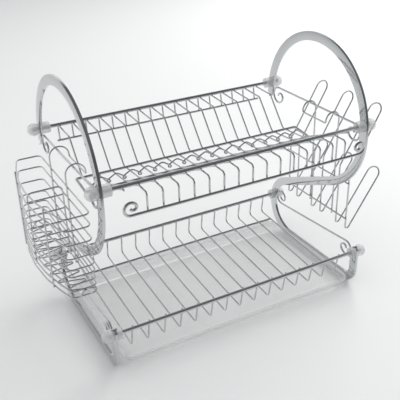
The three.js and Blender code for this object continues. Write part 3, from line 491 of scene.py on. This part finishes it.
for side, sign in (("left", -1), ("right", 1)):
    x = MIDDLE_X + sign * FRAME_REACH
    draw_wire(
        mm((x, *UPPER_RUN_FRONT)), AXIS_Y,
        [UPPER_RUN_LENGTH, (UPPER_SCROLL, SCROLL_SWEEP, -AXIS_X), (CURL, CURL_SWEEP, -AXIS_X)],
        SIDE_WIRE, SIDE_SIDES, [(UPPER_SCROLL, SCROLL_SWEEP, AXIS_X), (CURL, CURL_SWEEP, AXIS_X)])
    hand_over(seal(WIRE_END), f"{side}_upper_side_rail_wire", wire_chrome, "chrome", "rack",
              f"{side}_upper_side_rail")
    front, rear = mm((x, *LOWER_RUN_FRONT)), mm((x, *LOWER_RUN_REAR))
    draw_wire(
        front, (rear - front).normalized(),
        [(rear - front).length * 1000, (LOWER_SCROLL, SCROLL_SWEEP, AXIS_X), (CURL, CURL_SWEEP, AXIS_X)],
        SIDE_WIRE, SIDE_SIDES, [(LOWER_SCROLL, SCROLL_SWEEP, AXIS_X), (CURL, CURL_SWEEP, AXIS_X)])
    hand_over(seal(WIRE_END), f"{side}_lower_side_rail_wire", wire_chrome, "chrome", "rack",
              f"{side}_lower_side_rail")

# Plate wires
# Seventeen chromed wires, 2.5 mm thick. Each comes up behind the rear rail, runs below it, drops
# into the trough, rises to the front rail and turns down behind the lip rail. The two outer ones
# stop at the front rail. All crossings are spot welded.
PLATE_WIRE = 2.5
PLATE_SIDES = 12
PLATE_COUNT = 17
PLATE_ROW_HALF = 174.4
PLATE_PITCH = 21.8
REAR_TIP = (134.089, 243.5)
REAR_TOP = (138.14, 269.137)
SHELF_BEND = (85.747, 267.192)
TROUGH_REAR_BEND = (46.235, 220.403)
TROUGH_FRONT_BEND = (-8.351, 224.426)
NOSE_TOP = (-110.107, 267.0)
NOSE_FRONT = (-132.961, 267.0)
NOSE_END = (-132.961, 240.0)
NUB_END = (-114.511, 267.0)
PLATE_BENDS = [0, 5.0, 6.0, 9.0, 12.0, 5.0, 5.0, 0]
STRINGER = 4.0
REAR_LIP_WIRE = 3.2
REAR_LIP = (131.313, 246.2)
TROUGH_FRONT = (-5.521, 220.7)
TROUGH_REAR = (32.379, 225.0)
LIP_RAIL = (-136.511, 243.0)
WELD_FLATTENING = 0.6
WELD_SIDES = 10
WELD_RINGS = 6
STRAIGHT_BELOW = 1e-4


def through(corners, radii, closed=False):
    """A rough line with rounded corners as a start, a heading, and straights and bends."""
    points = [mm(corner) for corner in corners]
    bends = list(radii)
    if closed:
        middle = (points[0] + points[-1]) / 2
        points = [middle, *points, middle]
        bends = [0, *bends, 0]
    moves, spent = [], 0.0
    for index in range(1, len(points)):
        run = points[index] - points[index - 1]
        length = run.length * 1000 - spent
        if index + 1 == len(points):
            moves.append(length)
            break
        after = points[index + 1] - points[index]
        turn = run.angle(after)
        spent = bends[index] * math.tan(turn / 2)
        if length > spent:
            moves.append(length - spent)
        if turn > STRAIGHT_BELOW:
            moves.append((bends[index], math.degrees(turn), run.cross(after).normalized()))
    return points[0], (points[1] - points[0]).normalized(), moves


def weld(at, diameter, sides=WELD_SIDES):
    """A spot weld: the low bead of metal that swells out where two wires are pressed together."""
    bpy.ops.mesh.primitive_uv_sphere_add(
        segments=sides, ring_count=WELD_RINGS, radius=mm(diameter) / 2 * WELD_FLATTENING, location=at)


def plate_wire(x, front, bends):
    """One plate wire in edit mode, with its weld beads."""
    line = (REAR_TIP, REAR_TOP, SHELF_BEND, TROUGH_REAR_BEND, TROUGH_FRONT_BEND, NOSE_TOP, *front)
    draw_wire(*through([(x, *at) for at in line], bends), PLATE_WIRE, PLATE_SIDES)
    touches = [
        (REAR_LIP[0] + REAR_LIP_WIRE / 2, REAR_LIP[1]),
        (UPPER_REAR[0], UPPER_REAR[1] - RAIL_DIAMETER / 2),
        (TROUGH_REAR[0], TROUGH_REAR[1] - STRINGER / 2),
        (TROUGH_FRONT[0], TROUGH_FRONT[1] + STRINGER / 2),
        (UPPER_FRONT[0], UPPER_FRONT[1] - RAIL_DIAMETER / 2),
    ]
    if len(front) > 1:
        touches.append((LIP_RAIL[0] + STRINGER / 2, LIP_RAIL[1]))
    for at in touches:
        weld(mm((x, *at)), PLATE_WIRE)


row_start = MIDDLE_X - PLATE_ROW_HALF
plate_wire(row_start + PLATE_PITCH, (NOSE_FRONT, NOSE_END), PLATE_BENDS)
long_wire = seal(WIRE_END)
for index in range(1, PLATE_COUNT - 1):
    node = f"plate_wire_{index + 1:02d}"
    hand_over(copy_to(long_wire, ((index - 1) * PLATE_PITCH, 0, 0)), f"{node}_bent", wire_chrome, "chrome",
              "rack", node)
bpy.data.objects.remove(long_wire)
for index in (0, PLATE_COUNT - 1):
    node = f"plate_wire_{index + 1:02d}"
    plate_wire(row_start + index * PLATE_PITCH, (NUB_END,), [*PLATE_BENDS[:6], 0])
    hand_over(seal(WIRE_END), f"{node}_bent", wire_chrome, "chrome", "rack", node)

# Rear lip rail and trough ring
# Lighter chromed wires. The rear lip rail, 3.2 mm thick, is straight and joins the rear tips of the
# plate wires. The ring, 4 mm thick, runs round the trough that the plates stand in, with its
# corners bent tight and its ends butt welded.
STRINGER_SIDES = 18
STRINGER_REACH = 188.0
RING_CORNER = 3.5
REAR_LIP_REACH = 179.5

straight_rod(REAR_LIP, REAR_LIP_REACH, REAR_LIP_WIRE, STRINGER_SIDES)
hand_over(seal(WIRE_END), "rear_lip_rail_rod", wire_chrome, "chrome", "rack", "rear_lip_rail")

ring_ends = (MIDDLE_X - STRINGER_REACH, MIDDLE_X + STRINGER_REACH)
ring_corners = [(ring_ends[0], *TROUGH_FRONT), (ring_ends[1], *TROUGH_FRONT),
                (ring_ends[1], *TROUGH_REAR), (ring_ends[0], *TROUGH_REAR)]
draw_wire(*through(ring_corners, [RING_CORNER] * 4, closed=True), STRINGER, STRINGER_SIDES)
hand_over(seal(), "trough_ring_wire", wire_chrome, "chrome", "rack", "trough_ring")

# Plate stop
# A thinner chromed wire, 2.2 mm, wound into a flattened coil along the front of the trough. It lies
# on the plate wires, each of its fifteen coils crosses the next, and both ends stand on the ring.
STOP_WIRE = 2.2
STOP_SIDES = 12
STOP_COILS = 15
STOP_PITCH = 23.5
STOP_HALF_WIDTH = 18.0
STOP_HALF_DEPTH = 2.0
STOP_MIDDLE_Y = -4.321
STOP_REST = 226.9
STOP_END = 224.1
STOP_TOP = 238.1
STOP_TOP_BEND = 6.0
STOP_FOOT_BEND = 1.9
STOP_STEP = 14
STOP_WELD_INSET = 0.6

stop_half = (STOP_COILS - 1) * STOP_PITCH / 2
coil_line = [(MIDDLE_X - stop_half - STOP_HALF_WIDTH, STOP_MIDDLE_Y, STOP_END)]
coil_bends = [0]
for index in range(STOP_COILS):
    x = MIDDLE_X - stop_half + index * STOP_PITCH
    if index:
        coil_line += [(x - STOP_PITCH + STOP_HALF_WIDTH, STOP_MIDDLE_Y - STOP_HALF_DEPTH, STOP_REST),
                      (x - STOP_HALF_WIDTH, STOP_MIDDLE_Y + STOP_HALF_DEPTH, STOP_REST)]
        coil_bends += [STOP_FOOT_BEND] * 2
    coil_line.append((x, STOP_MIDDLE_Y, STOP_TOP))
    coil_bends.append(STOP_TOP_BEND)
coil_line.append((MIDDLE_X + stop_half + STOP_HALF_WIDTH, STOP_MIDDLE_Y, STOP_END))
draw_wire(*through(coil_line, [*coil_bends, 0]), STOP_WIRE, STOP_SIDES, step=STOP_STEP)
for sign in (-1, 1):
    x = MIDDLE_X + sign * (stop_half + STOP_HALF_WIDTH - STOP_WELD_INSET)
    weld(mm((x, STOP_MIDDLE_Y, STOP_END - STOP_WIRE / 2)), STOP_WIRE)
hand_over(seal(WIRE_END), "plate_stop_wire", wire_chrome, "chrome", "rack", "plate_stop")

# Lip rail
# A chromed wire, 4 mm thick, along the front of the rack below the plate wires' noses, with a small
# scroll turned up at each end.
LIP_REACH = 176.0
LIP_SCROLL = (8.7, 230.0)
LIP_CURL = (4.5, 190.0)

draw_wire(
    mm((MIDDLE_X - LIP_REACH, *LIP_RAIL)), AXIS_X,
    [2 * LIP_REACH, (*LIP_SCROLL, -AXIS_Y), (*LIP_CURL, -AXIS_Y)], STRINGER, STRINGER_SIDES,
    [(*LIP_SCROLL, AXIS_Y), (*LIP_CURL, AXIS_Y)])
hand_over(seal(WIRE_END), "scroll_lip_rail_wire", wire_chrome, "chrome", "rack", "scroll_lip_rail")

# Lower rack
# Fifteen chromed wires, 2.5 mm thick, hang between the two lower rails as a shallow floor. They are
# spot welded to the rails at both ends and to one stringer below.
GRID_COUNT = 15
GRID_REACH = 177.1
GRID_PITCH = 25.3
GRID_LINE = [(-111.92, 61.0), (-103.82, 22.3), (108.283, 36.0), (103.663, 68.5)]
GRID_BENDS = [0, 6.0, 6.0, 0]
GRID_STRINGER = (81.783, 31.438)
GRID_STRINGER_REACH = 180.0

grid_x = MIDDLE_X - GRID_REACH
draw_wire(*through([(grid_x, *at) for at in GRID_LINE], GRID_BENDS), PLATE_WIRE, PLATE_SIDES)
weld(mm((grid_x, LOWER_FRONT[0] + RAIL_DIAMETER / 2, LOWER_FRONT[1])), PLATE_WIRE)
weld(mm((grid_x, LOWER_REAR[0] - RAIL_DIAMETER / 2, LOWER_REAR[1])), PLATE_WIRE)
weld(mm((grid_x, GRID_STRINGER[0], GRID_STRINGER[1] + STRINGER / 2)), PLATE_WIRE)
seal()
row = bpy.context.object.modifiers.new("row", "ARRAY")
row.count = GRID_COUNT
row.use_relative_offset = False
row.use_constant_offset = True
row.constant_offset_displace = mm((GRID_PITCH, 0, 0))
bpy.ops.object.modifier_apply(modifier=row.name)
bpy.ops.object.mode_set(mode="EDIT")
straight_rod(GRID_STRINGER, GRID_STRINGER_REACH, STRINGER, STRINGER_SIDES)
hand_over(seal(WIRE_END), "lower_rack_grid_wires", wire_chrome, "chrome", "rack", "lower_rack_grid")

# Drip tray
# A shallow tray moulded in milky see-through plastic, 392 by 225 mm. It turns more opaque with height, so
# that its wall and rim show a painted sheen where the eye looks along the plastic. It stands on the
# worktop and slides out at the front.
TRAY_MIDDLE = (MIDDLE_X, -11.72)
TRAY_SIZE = (392.0, 225.0)
TRAY_HEIGHT = 17.0
TRAY_WALL = 2.0
TRAY_RIM = 3.0
TRAY_DRAFT = 5.0
TRAY_CORNER = 18.0
TRAY_CORNER_STEPS = 10
TRAY_EDGE = 0.6
TRAY_FLAT_EDGE = 4.0
TRAY_SMOOTH_BELOW = 30
TRAY_FLAT_TOP = 2.5
TRAY_WALL_TOP = 16.0
TRAY_FLAT_MILK = 0.09
TRAY_WALL_MILK_AND_PAINTED_SHEEN = 0.36


def drawn_sheet(z, rim, depth):
    """One skin of the tray, in edit mode: a rounded sheet, its rim, its sloping wall and its flat."""
    bpy.ops.mesh.primitive_plane_add(size=1, location=mm((*TRAY_MIDDLE, z)))
    if bpy.context.mode == "OBJECT":
        bpy.ops.object.transform_apply(location=True, rotation=True, scale=True)
        bpy.ops.object.mode_set(mode="EDIT")
    bpy.ops.transform.resize(value=(mm(TRAY_SIZE[0]), mm(TRAY_SIZE[1]), 1),
                             center_override=mm((*TRAY_MIDDLE, z)))
    bpy.ops.mesh.bevel(offset=mm(TRAY_CORNER), segments=TRAY_CORNER_STEPS, affect="VERTICES")
    bpy.ops.mesh.inset(thickness=mm(rim))
    bpy.ops.mesh.inset(thickness=mm(TRAY_DRAFT))
    bpy.ops.transform.translate(value=mm((0, 0, -depth)))
    bpy.ops.mesh.inset(thickness=mm(TRAY_FLAT_EDGE))


def is_on_rim(a, b):
    """Whether an edge lies on the outermost outline of the tray."""
    def outside(at):
        across = [abs(at.x - mm(TRAY_MIDDLE[0])), abs(at.y - mm(TRAY_MIDDLE[1]))]
        past = [max(part - mm(size) / 2 + mm(TRAY_CORNER), 0) for part, size in zip(across, TRAY_SIZE)]
        return math.hypot(*past) > mm(TRAY_CORNER - 3 * CLOSE_ENOUGH)
    return outside(a) and outside(b)


drawn_sheet(TRAY_HEIGHT, TRAY_RIM + TRAY_WALL, TRAY_HEIGHT - TRAY_WALL)
drawn_sheet(TRAY_HEIGHT - TRAY_WALL, TRAY_RIM, TRAY_HEIGHT - TRAY_WALL)
select_edges(bpy.context.object, is_on_rim)
bpy.ops.mesh.bridge_edge_loops()
tray_plastic = frosted_plastic("milky_polypropylene", body=TRAY_FLAT_MILK, frost=0.25, haze_size=71.4)
# The height on the tray sets how milky it looks, in place of the haze: up the wall and rim it turns more
# opaque and white, a painted sheen for the look of the plastic where the eye runs along it
tray_tree = tray_plastic.node_tree
tray_place = add(tray_tree, "ShaderNodeTexCoord").outputs["Object"]
tray_parts = add(tray_tree, "ShaderNodeSeparateXYZ", {"Vector": tray_place})
wall_milk_and_painted_sheen = add(tray_tree, "ShaderNodeMapRange", {
    "Value": tray_parts.outputs["Z"], "From Min": mm(TRAY_FLAT_TOP), "From Max": mm(TRAY_WALL_TOP),
    "To Min": TRAY_FLAT_MILK, "To Max": TRAY_WALL_MILK_AND_PAINTED_SHEEN})
tray_tree.links.new(wall_milk_and_painted_sheen.outputs["Result"], tray_tree.nodes["Principled BSDF"].inputs["Alpha"])
hand_over(seal(TRAY_EDGE, TRAY_SMOOTH_BELOW), "drip_tray_moulding", tray_plastic, "tray_plastic",
          "tray", "drip_tray")

# Cutlery basket cage
# Nine rings of 2.2 mm chromed wire, straight towards the rack and bowed outwards, spot welded to
# two outer posts, to a V brace at each end and to one wire that hooks over the side rail twice.
BASKET_WIRE = 2.2
BASKET_SIDES = 10
BASKET_WELD_SIDES = 8
BASKET_RING_STEP = 10
BASKET_INNER = 215.0
BASKET_END = 250.0
BASKET_BOW = 18.9
BASKET_MIDDLE_Y = 3.7795
BASKET_HALF_DEPTH = 103.0
BASKET_CORNER = 8.0
BOW_BEND = 240.0
BASKET_TOP = 239.5
BASKET_HEIGHT = 115.0
RING_SHARES = [0, 0.148, 0.326, 0.496, 0.635, 0.73, 0.826, 0.913, 1]
BOW_SHARES = [0.6, 0.2, -0.2, -0.6]
BASKET_BITE = 1.8
BASKET_HOOKS_Y = 16.177
BASKET_HOOKS_HALF = 33.7
BASKET_HOOK_INNER = 188.5
BASKET_HOOK_TOP = 271.429
POSTS_HALF = 64.0
POST_OFFSET = 1.1
BRACE_LINE = ((0.25, -1), (0.5, -2), (0.75, -1))
BRACE_BENDS = [0, 2.4, 0]
HOOK_LEG = 3.2
HOOK_FOOT_BEND = 3.0
HOOK_ARCH_FLAT = 0.06


def bow(share):
    """Distance of the bowed side from the middle of the rack, at a share of the half depth."""
    return BASKET_END + BASKET_BOW * (1 - share ** 2)


def hook_corners(outer, inner, middle_y, half, top, foot):
    """The line of a wire that rises, hooks over the side rail, runs along and comes back the same way."""
    arch = (abs(outer - inner) - HOOK_ARCH_FLAT) / 2
    leg = top - arch - HOOK_LEG
    near, far = middle_y - half, middle_y + half
    line = [(outer, near, foot), (outer, near, top), (inner, near, top), (inner, near, leg),
            (inner, far, leg), (inner, far, top), (outer, far, top), (outer, far, foot)]
    shifted = [(MIDDLE_X + x, y, z) for x, y, z in line]
    return shifted, [0, arch, arch, HOOK_FOOT_BEND, HOOK_FOOT_BEND, arch, arch, 0]


ring_levels = [BASKET_TOP - BASKET_HEIGHT * share for share in RING_SHARES]
basket_foot = ring_levels[-1] - BASKET_WIRE / 2
for z in ring_levels:
    plan = [(BASKET_INNER, -1), (BASKET_INNER, 1), (BASKET_END, 1), *((bow(s), s) for s in BOW_SHARES),
            (BASKET_END, -1)]
    corners = [(MIDDLE_X - x, BASKET_MIDDLE_Y + BASKET_HALF_DEPTH * share, z) for x, share in plan]
    radii = [BASKET_CORNER] * 3 + [BOW_BEND] * len(BOW_SHARES) + [BASKET_CORNER]
    draw_wire(*through(corners, radii, closed=True), BASKET_WIRE, BASKET_SIDES, step=BASKET_RING_STEP)
hook_x = -BASKET_INNER - BASKET_BITE
basket_hooks = hook_corners(hook_x, -BASKET_HOOK_INNER, BASKET_HOOKS_Y, BASKET_HOOKS_HALF, BASKET_HOOK_TOP,
                            basket_foot)
draw_wire(*through(*basket_hooks), BASKET_WIRE, BASKET_SIDES)
for sign in (-1, 1):
    y = BASKET_MIDDLE_Y + sign * POSTS_HALF
    post_x = MIDDLE_X - bow(POSTS_HALF / BASKET_HALF_DEPTH) - POST_OFFSET
    post_length = BASKET_HEIGHT + BASKET_WIRE
    draw_wire(mm((post_x, y, basket_foot)), AXIS_Z, [post_length], BASKET_WIRE, BASKET_SIDES)
    brace_y = BASKET_MIDDLE_Y + sign * (BASKET_HALF_DEPTH + BASKET_BITE)
    brace = [(MIDDLE_X - BASKET_INNER - (BASKET_END - BASKET_INNER) * share, brace_y, ring_levels[level])
             for share, level in BRACE_LINE]
    draw_wire(*through(brace, BRACE_BENDS), BASKET_WIRE, BASKET_SIDES)
    for z in ring_levels:
        weld(mm((post_x + BASKET_WIRE / 2, y, z)), BASKET_WIRE, BASKET_WELD_SIDES)
        weld(mm((MIDDLE_X + hook_x + BASKET_WIRE / 2, BASKET_HOOKS_Y + sign * BASKET_HOOKS_HALF, z)),
             BASKET_WIRE, BASKET_WELD_SIDES)
hand_over(seal(WIRE_END), "cutlery_basket_cage_wires", wire_chrome, "chrome", "cutlery_basket",
          "cutlery_basket_cage")

# Cutlery basket divider
# A hoop of the same chromed wire with six bars welded across it. It stands in the basket and parts
# it in two.
DIVIDER_Y = BASKET_MIDDLE_Y - 2.0
DIVIDER_INNER = 217.5
DIVIDER_OUTER = 266.19
DIVIDER_FOOT = 127.0
DIVIDER_TOP = 235.5
DIVIDER_BENDS = [0, 8.0, 8.0, 0]
DIVIDER_BARS = 6
DIVIDER_WELD = 3.3

hoop = [(DIVIDER_INNER, DIVIDER_FOOT), (DIVIDER_INNER, DIVIDER_TOP), (DIVIDER_OUTER, DIVIDER_TOP),
        (DIVIDER_OUTER, DIVIDER_FOOT)]
draw_wire(*through([(MIDDLE_X - x, DIVIDER_Y, z) for x, z in hoop], DIVIDER_BENDS),
          BASKET_WIRE, BASKET_SIDES)
for z in ring_levels[1:1 + DIVIDER_BARS]:
    draw_wire(mm((MIDDLE_X - DIVIDER_OUTER, DIVIDER_Y, z)), AXIS_X, [DIVIDER_OUTER - DIVIDER_INNER],
              BASKET_WIRE, BASKET_SIDES)
    for x in (DIVIDER_INNER, DIVIDER_OUTER):
        weld(mm((MIDDLE_X - x, DIVIDER_Y, z)), DIVIDER_WELD, BASKET_WELD_SIDES)
hand_over(seal(WIRE_END), "cutlery_basket_divider_wires", wire_chrome, "chrome", "cutlery_basket",
          "cutlery_basket_divider")

# Cutlery basket floor
# One chromed wire bent to and fro across the basket. It lies on the lowest ring, to which it is
# welded at each turn.
ZIGZAG_Z = 127.0
ZIGZAG_INSET = 6.0
ZIGZAG_PEAKS = 8
ZIGZAG_BEND = 2.2
ZIGZAG_STEP = 15

zigzag = []
for turn in range(2 * ZIGZAG_PEAKS + 1):
    share = (turn / ZIGZAG_PEAKS - 1) * (1 - ZIGZAG_INSET / BASKET_HALF_DEPTH)
    reach = BASKET_INNER if turn % 2 == 0 else bow(share) - BASKET_WIRE / 2
    zigzag.append((MIDDLE_X - reach, BASKET_MIDDLE_Y + BASKET_HALF_DEPTH * share, ZIGZAG_Z))
draw_wire(*through(zigzag, [ZIGZAG_BEND] * len(zigzag)), BASKET_WIRE, BASKET_SIDES, step=ZIGZAG_STEP)
hand_over(seal(WIRE_END), "cutlery_basket_floor_wire", wire_chrome, "chrome", "cutlery_basket",
          "cutlery_basket_floor")

# Cup holder back
# A 2.6 mm chromed wire that hooks over the right side rail twice and hangs down in two legs, with
# two bars welded across them.
CUP_WIRE = 2.6
CUP_SIDES = 12
CUP_BAR_X = 209.9
CUP_POST_X = 212.1
CUP_MIDDLE_Y = -3.2205
CUP_HOOKS_Y = -17.0205
CUP_HOOKS_HALF = 29.0
CUP_HOOK_INNER = 187.0
CUP_HOOK_TOP = 273.144
CUP_FOOT = 95.0
CUP_BARS = (164.0, 102.0)
CUP_BAR_HALF = 82.0

cup_hooks = hook_corners(CUP_POST_X, CUP_HOOK_INNER, CUP_HOOKS_Y, CUP_HOOKS_HALF, CUP_HOOK_TOP, CUP_FOOT)
draw_wire(*through(*cup_hooks), CUP_WIRE, CUP_SIDES)
for z in CUP_BARS:
    draw_wire(mm((MIDDLE_X + CUP_BAR_X, CUP_MIDDLE_Y - CUP_BAR_HALF, z)), AXIS_Y, [2 * CUP_BAR_HALF],
              CUP_WIRE, CUP_SIDES)
    for y in (CUP_HOOKS_Y - CUP_HOOKS_HALF, CUP_HOOKS_Y + CUP_HOOKS_HALF):
        weld(mm((MIDDLE_X + (CUP_BAR_X + CUP_POST_X) / 2, y, z)), CUP_WIRE)
hand_over(seal(WIRE_END), "cup_holder_back_wires", wire_chrome, "chrome", "cup_holder",
          "cup_holder_back")

# Cup pegs
# Three closed loops of the same wire. Each leans out at the top and again at the foot, so that it
# gives two round-ended pegs to hang cups on, and is welded to both bars.
PEG_PITCH = 65.5
PEG_HALF = 12.0
PEG_BACK = 212.8
PEG_SIDE = [(268.0, 281.0), (PEG_BACK, 185.0), (PEG_BACK, 73.0), (277.98, 171.0)]
PEG_BENDS = [11.97, 12.0, 4.0, 11.97]

near_side = [(MIDDLE_X + x, CUP_MIDDLE_Y - PEG_HALF, z) for x, z in PEG_SIDE]
far_side = [(MIDDLE_X + x, CUP_MIDDLE_Y + PEG_HALF, z) for x, z in reversed(PEG_SIDE)]
draw_wire(*through(near_side + far_side, PEG_BENDS + PEG_BENDS[::-1], closed=True), CUP_WIRE, CUP_SIDES)
for z in CUP_BARS:
    for sign in (-1, 1):
        weld(mm((MIDDLE_X + (CUP_BAR_X + PEG_BACK) / 2, CUP_MIDDLE_Y + sign * PEG_HALF, z)), CUP_WIRE)
first_loop = seal()
for index, shift in enumerate((-PEG_PITCH, 0, PEG_PITCH), start=1):
    loop = copy_to(first_loop, (0, shift, 0))
    hand_over(loop, f"cup_peg_loop_{index}_wire", wire_chrome, "chrome", "cup_holder",
              f"cup_peg_loop_{index}")
bpy.data.objects.remove(first_loop)

# Worktop, light and camera
# A pale satin worktop, which mirrors the rack faintly and carries a painted shade that darkens it to grey
# well in front of it, one soft light on the right and one above, and grey walls, bright at the back and
# sides for the chrome.
WORKTOP_SIZE = 30.0
WORKTOP_COLOUR = "#EAEAEA"
WORKTOP_PAINTED_SHADE_COLOUR = "#707274"
WORKTOP_PAINTED_SHADE_SPAN = (-1.1, -0.42)
WORKTOP_ROUGHNESS = 0.32
ROOM_BACK = "#F2F3F3"
ROOM_FRONT = "#606263"
ROOM_TOP = "#707273"
ROOM_SIDES = "#E4E5E6"
BACK_BLEND = (0.1, 0.7)
TOP_BLEND = (0.4, 0.75)
SIDES_BLEND = (0.66, 0.94)
CAMERA_AT = (-447.8, -810.5, 640.1)
CAMERA_YAW = 28.18
CAMERA_PITCH = 27.68
CAMERA_ROLL = -1.35
CAMERA_LENS = 61.353
CAMERA_SENSOR = 36.0

bpy.ops.mesh.primitive_plane_add(size=WORKTOP_SIZE, location=(0, 0, 0))
worktop = bpy.context.object
worktop.name = "worktop"
laminate = bpy.data.materials.new("pale_satin_laminate_with_painted_shade")
laminate.use_nodes = True
top = laminate.node_tree
top_place = add(top, "ShaderNodeTexCoord").outputs["Object"]
top_parts = add(top, "ShaderNodeSeparateXYZ", {"Vector": top_place})
# Painted shade: the worktop's colour darkens to grey towards the front, a painted fall-off of the light
# that also gives the chrome a dark floor to mirror
painted_shade_fall_off = add(top, "ShaderNodeMapRange", {
    "Value": top_parts.outputs["Y"], "From Min": WORKTOP_PAINTED_SHADE_SPAN[0], "From Max": WORKTOP_PAINTED_SHADE_SPAN[1]},
    interpolation_type="SMOOTHSTEP")
top_tone = add(top, "ShaderNodeMix", {
    "Factor": painted_shade_fall_off.outputs["Result"],
    "A": colour(WORKTOP_PAINTED_SHADE_COLOUR), "B": colour(WORKTOP_COLOUR)}, data_type="RGBA")
top_shader = top.nodes["Principled BSDF"]
top.links.new(top_tone.outputs["Result"], top_shader.inputs["Base Color"])
top_shader.inputs["Roughness"].default_value = WORKTOP_ROUGHNESS
worktop.data.materials.append(laminate)

world = bpy.data.worlds.new("grey_room")
bpy.context.scene.world = world
world.use_nodes = True
sky = world.node_tree
sky.nodes.clear()
facing = add(sky, "ShaderNodeTexCoord").outputs["Generated"]
direction = add(sky, "ShaderNodeSeparateXYZ", {"Vector": facing})
either_side = add(sky, "ShaderNodeMath", {0: direction.outputs["X"]}, operation="ABSOLUTE")
room_colour = colour(ROOM_FRONT)
for towards, blend, wall_colour in (
        (direction.outputs["Y"], BACK_BLEND, ROOM_BACK),
        (direction.outputs["Z"], TOP_BLEND, ROOM_TOP),
        (either_side.outputs["Value"], SIDES_BLEND, ROOM_SIDES)):
    near_wall = add(sky, "ShaderNodeMapRange", {
        "Value": towards, "From Min": blend[0], "From Max": blend[1]}, interpolation_type="SMOOTHSTEP")
    mixed = add(sky, "ShaderNodeMix", {
        "Factor": near_wall.outputs["Result"], "A": room_colour, "B": colour(wall_colour)},
        data_type="RGBA")
    room_colour = mixed.outputs["Result"]
room = add(sky, "ShaderNodeBackground", {"Color": room_colour, "Strength": 1.0})
add(sky, "ShaderNodeOutputWorld", {"Surface": room.outputs["Background"]})


def soft_light(name, at, aim, size, power):
    """A large square light that faces a point, kept out of the mirrored room."""
    bpy.ops.object.light_add(type="AREA", location=at)
    light = bpy.context.object
    light.name = name
    light.data.size = size
    light.data.energy = power
    light.visible_glossy = False
    light.rotation_euler = (Vector(aim) - Vector(at)).to_track_quat("-Z", "Y").to_euler()


soft_light("window_right", at=(2.2, 1.1, 1.2), aim=(0.6, 0.5, 0), size=2.0, power=52)
soft_light("ceiling", at=(-0.6, -0.7, 3.0), aim=(-0.4, -0.4, 0), size=4.5, power=78)

yaw, pitch, roll = (math.radians(angle) for angle in (CAMERA_YAW, CAMERA_PITCH, CAMERA_ROLL))
forward = Vector((math.sin(yaw) * math.cos(pitch), math.cos(yaw) * math.cos(pitch), -math.sin(pitch)))
level_right = forward.cross(AXIS_Z).normalized()
level_up = level_right.cross(forward)
right = math.cos(roll) * level_right + math.sin(roll) * level_up
up = math.cos(roll) * level_up - math.sin(roll) * level_right
bpy.ops.object.camera_add(location=mm(CAMERA_AT))
camera = bpy.context.object
camera_turn = Matrix((right, up, -forward)).transposed().to_4x4()
camera.matrix_world = Matrix.Translation(mm(CAMERA_AT)) @ camera_turn
camera.data.lens = CAMERA_LENS
camera.data.sensor_width = CAMERA_SENSOR
bpy.context.scene.camera = camera
bpy.context.scene.view_settings.view_transform = "Standard"
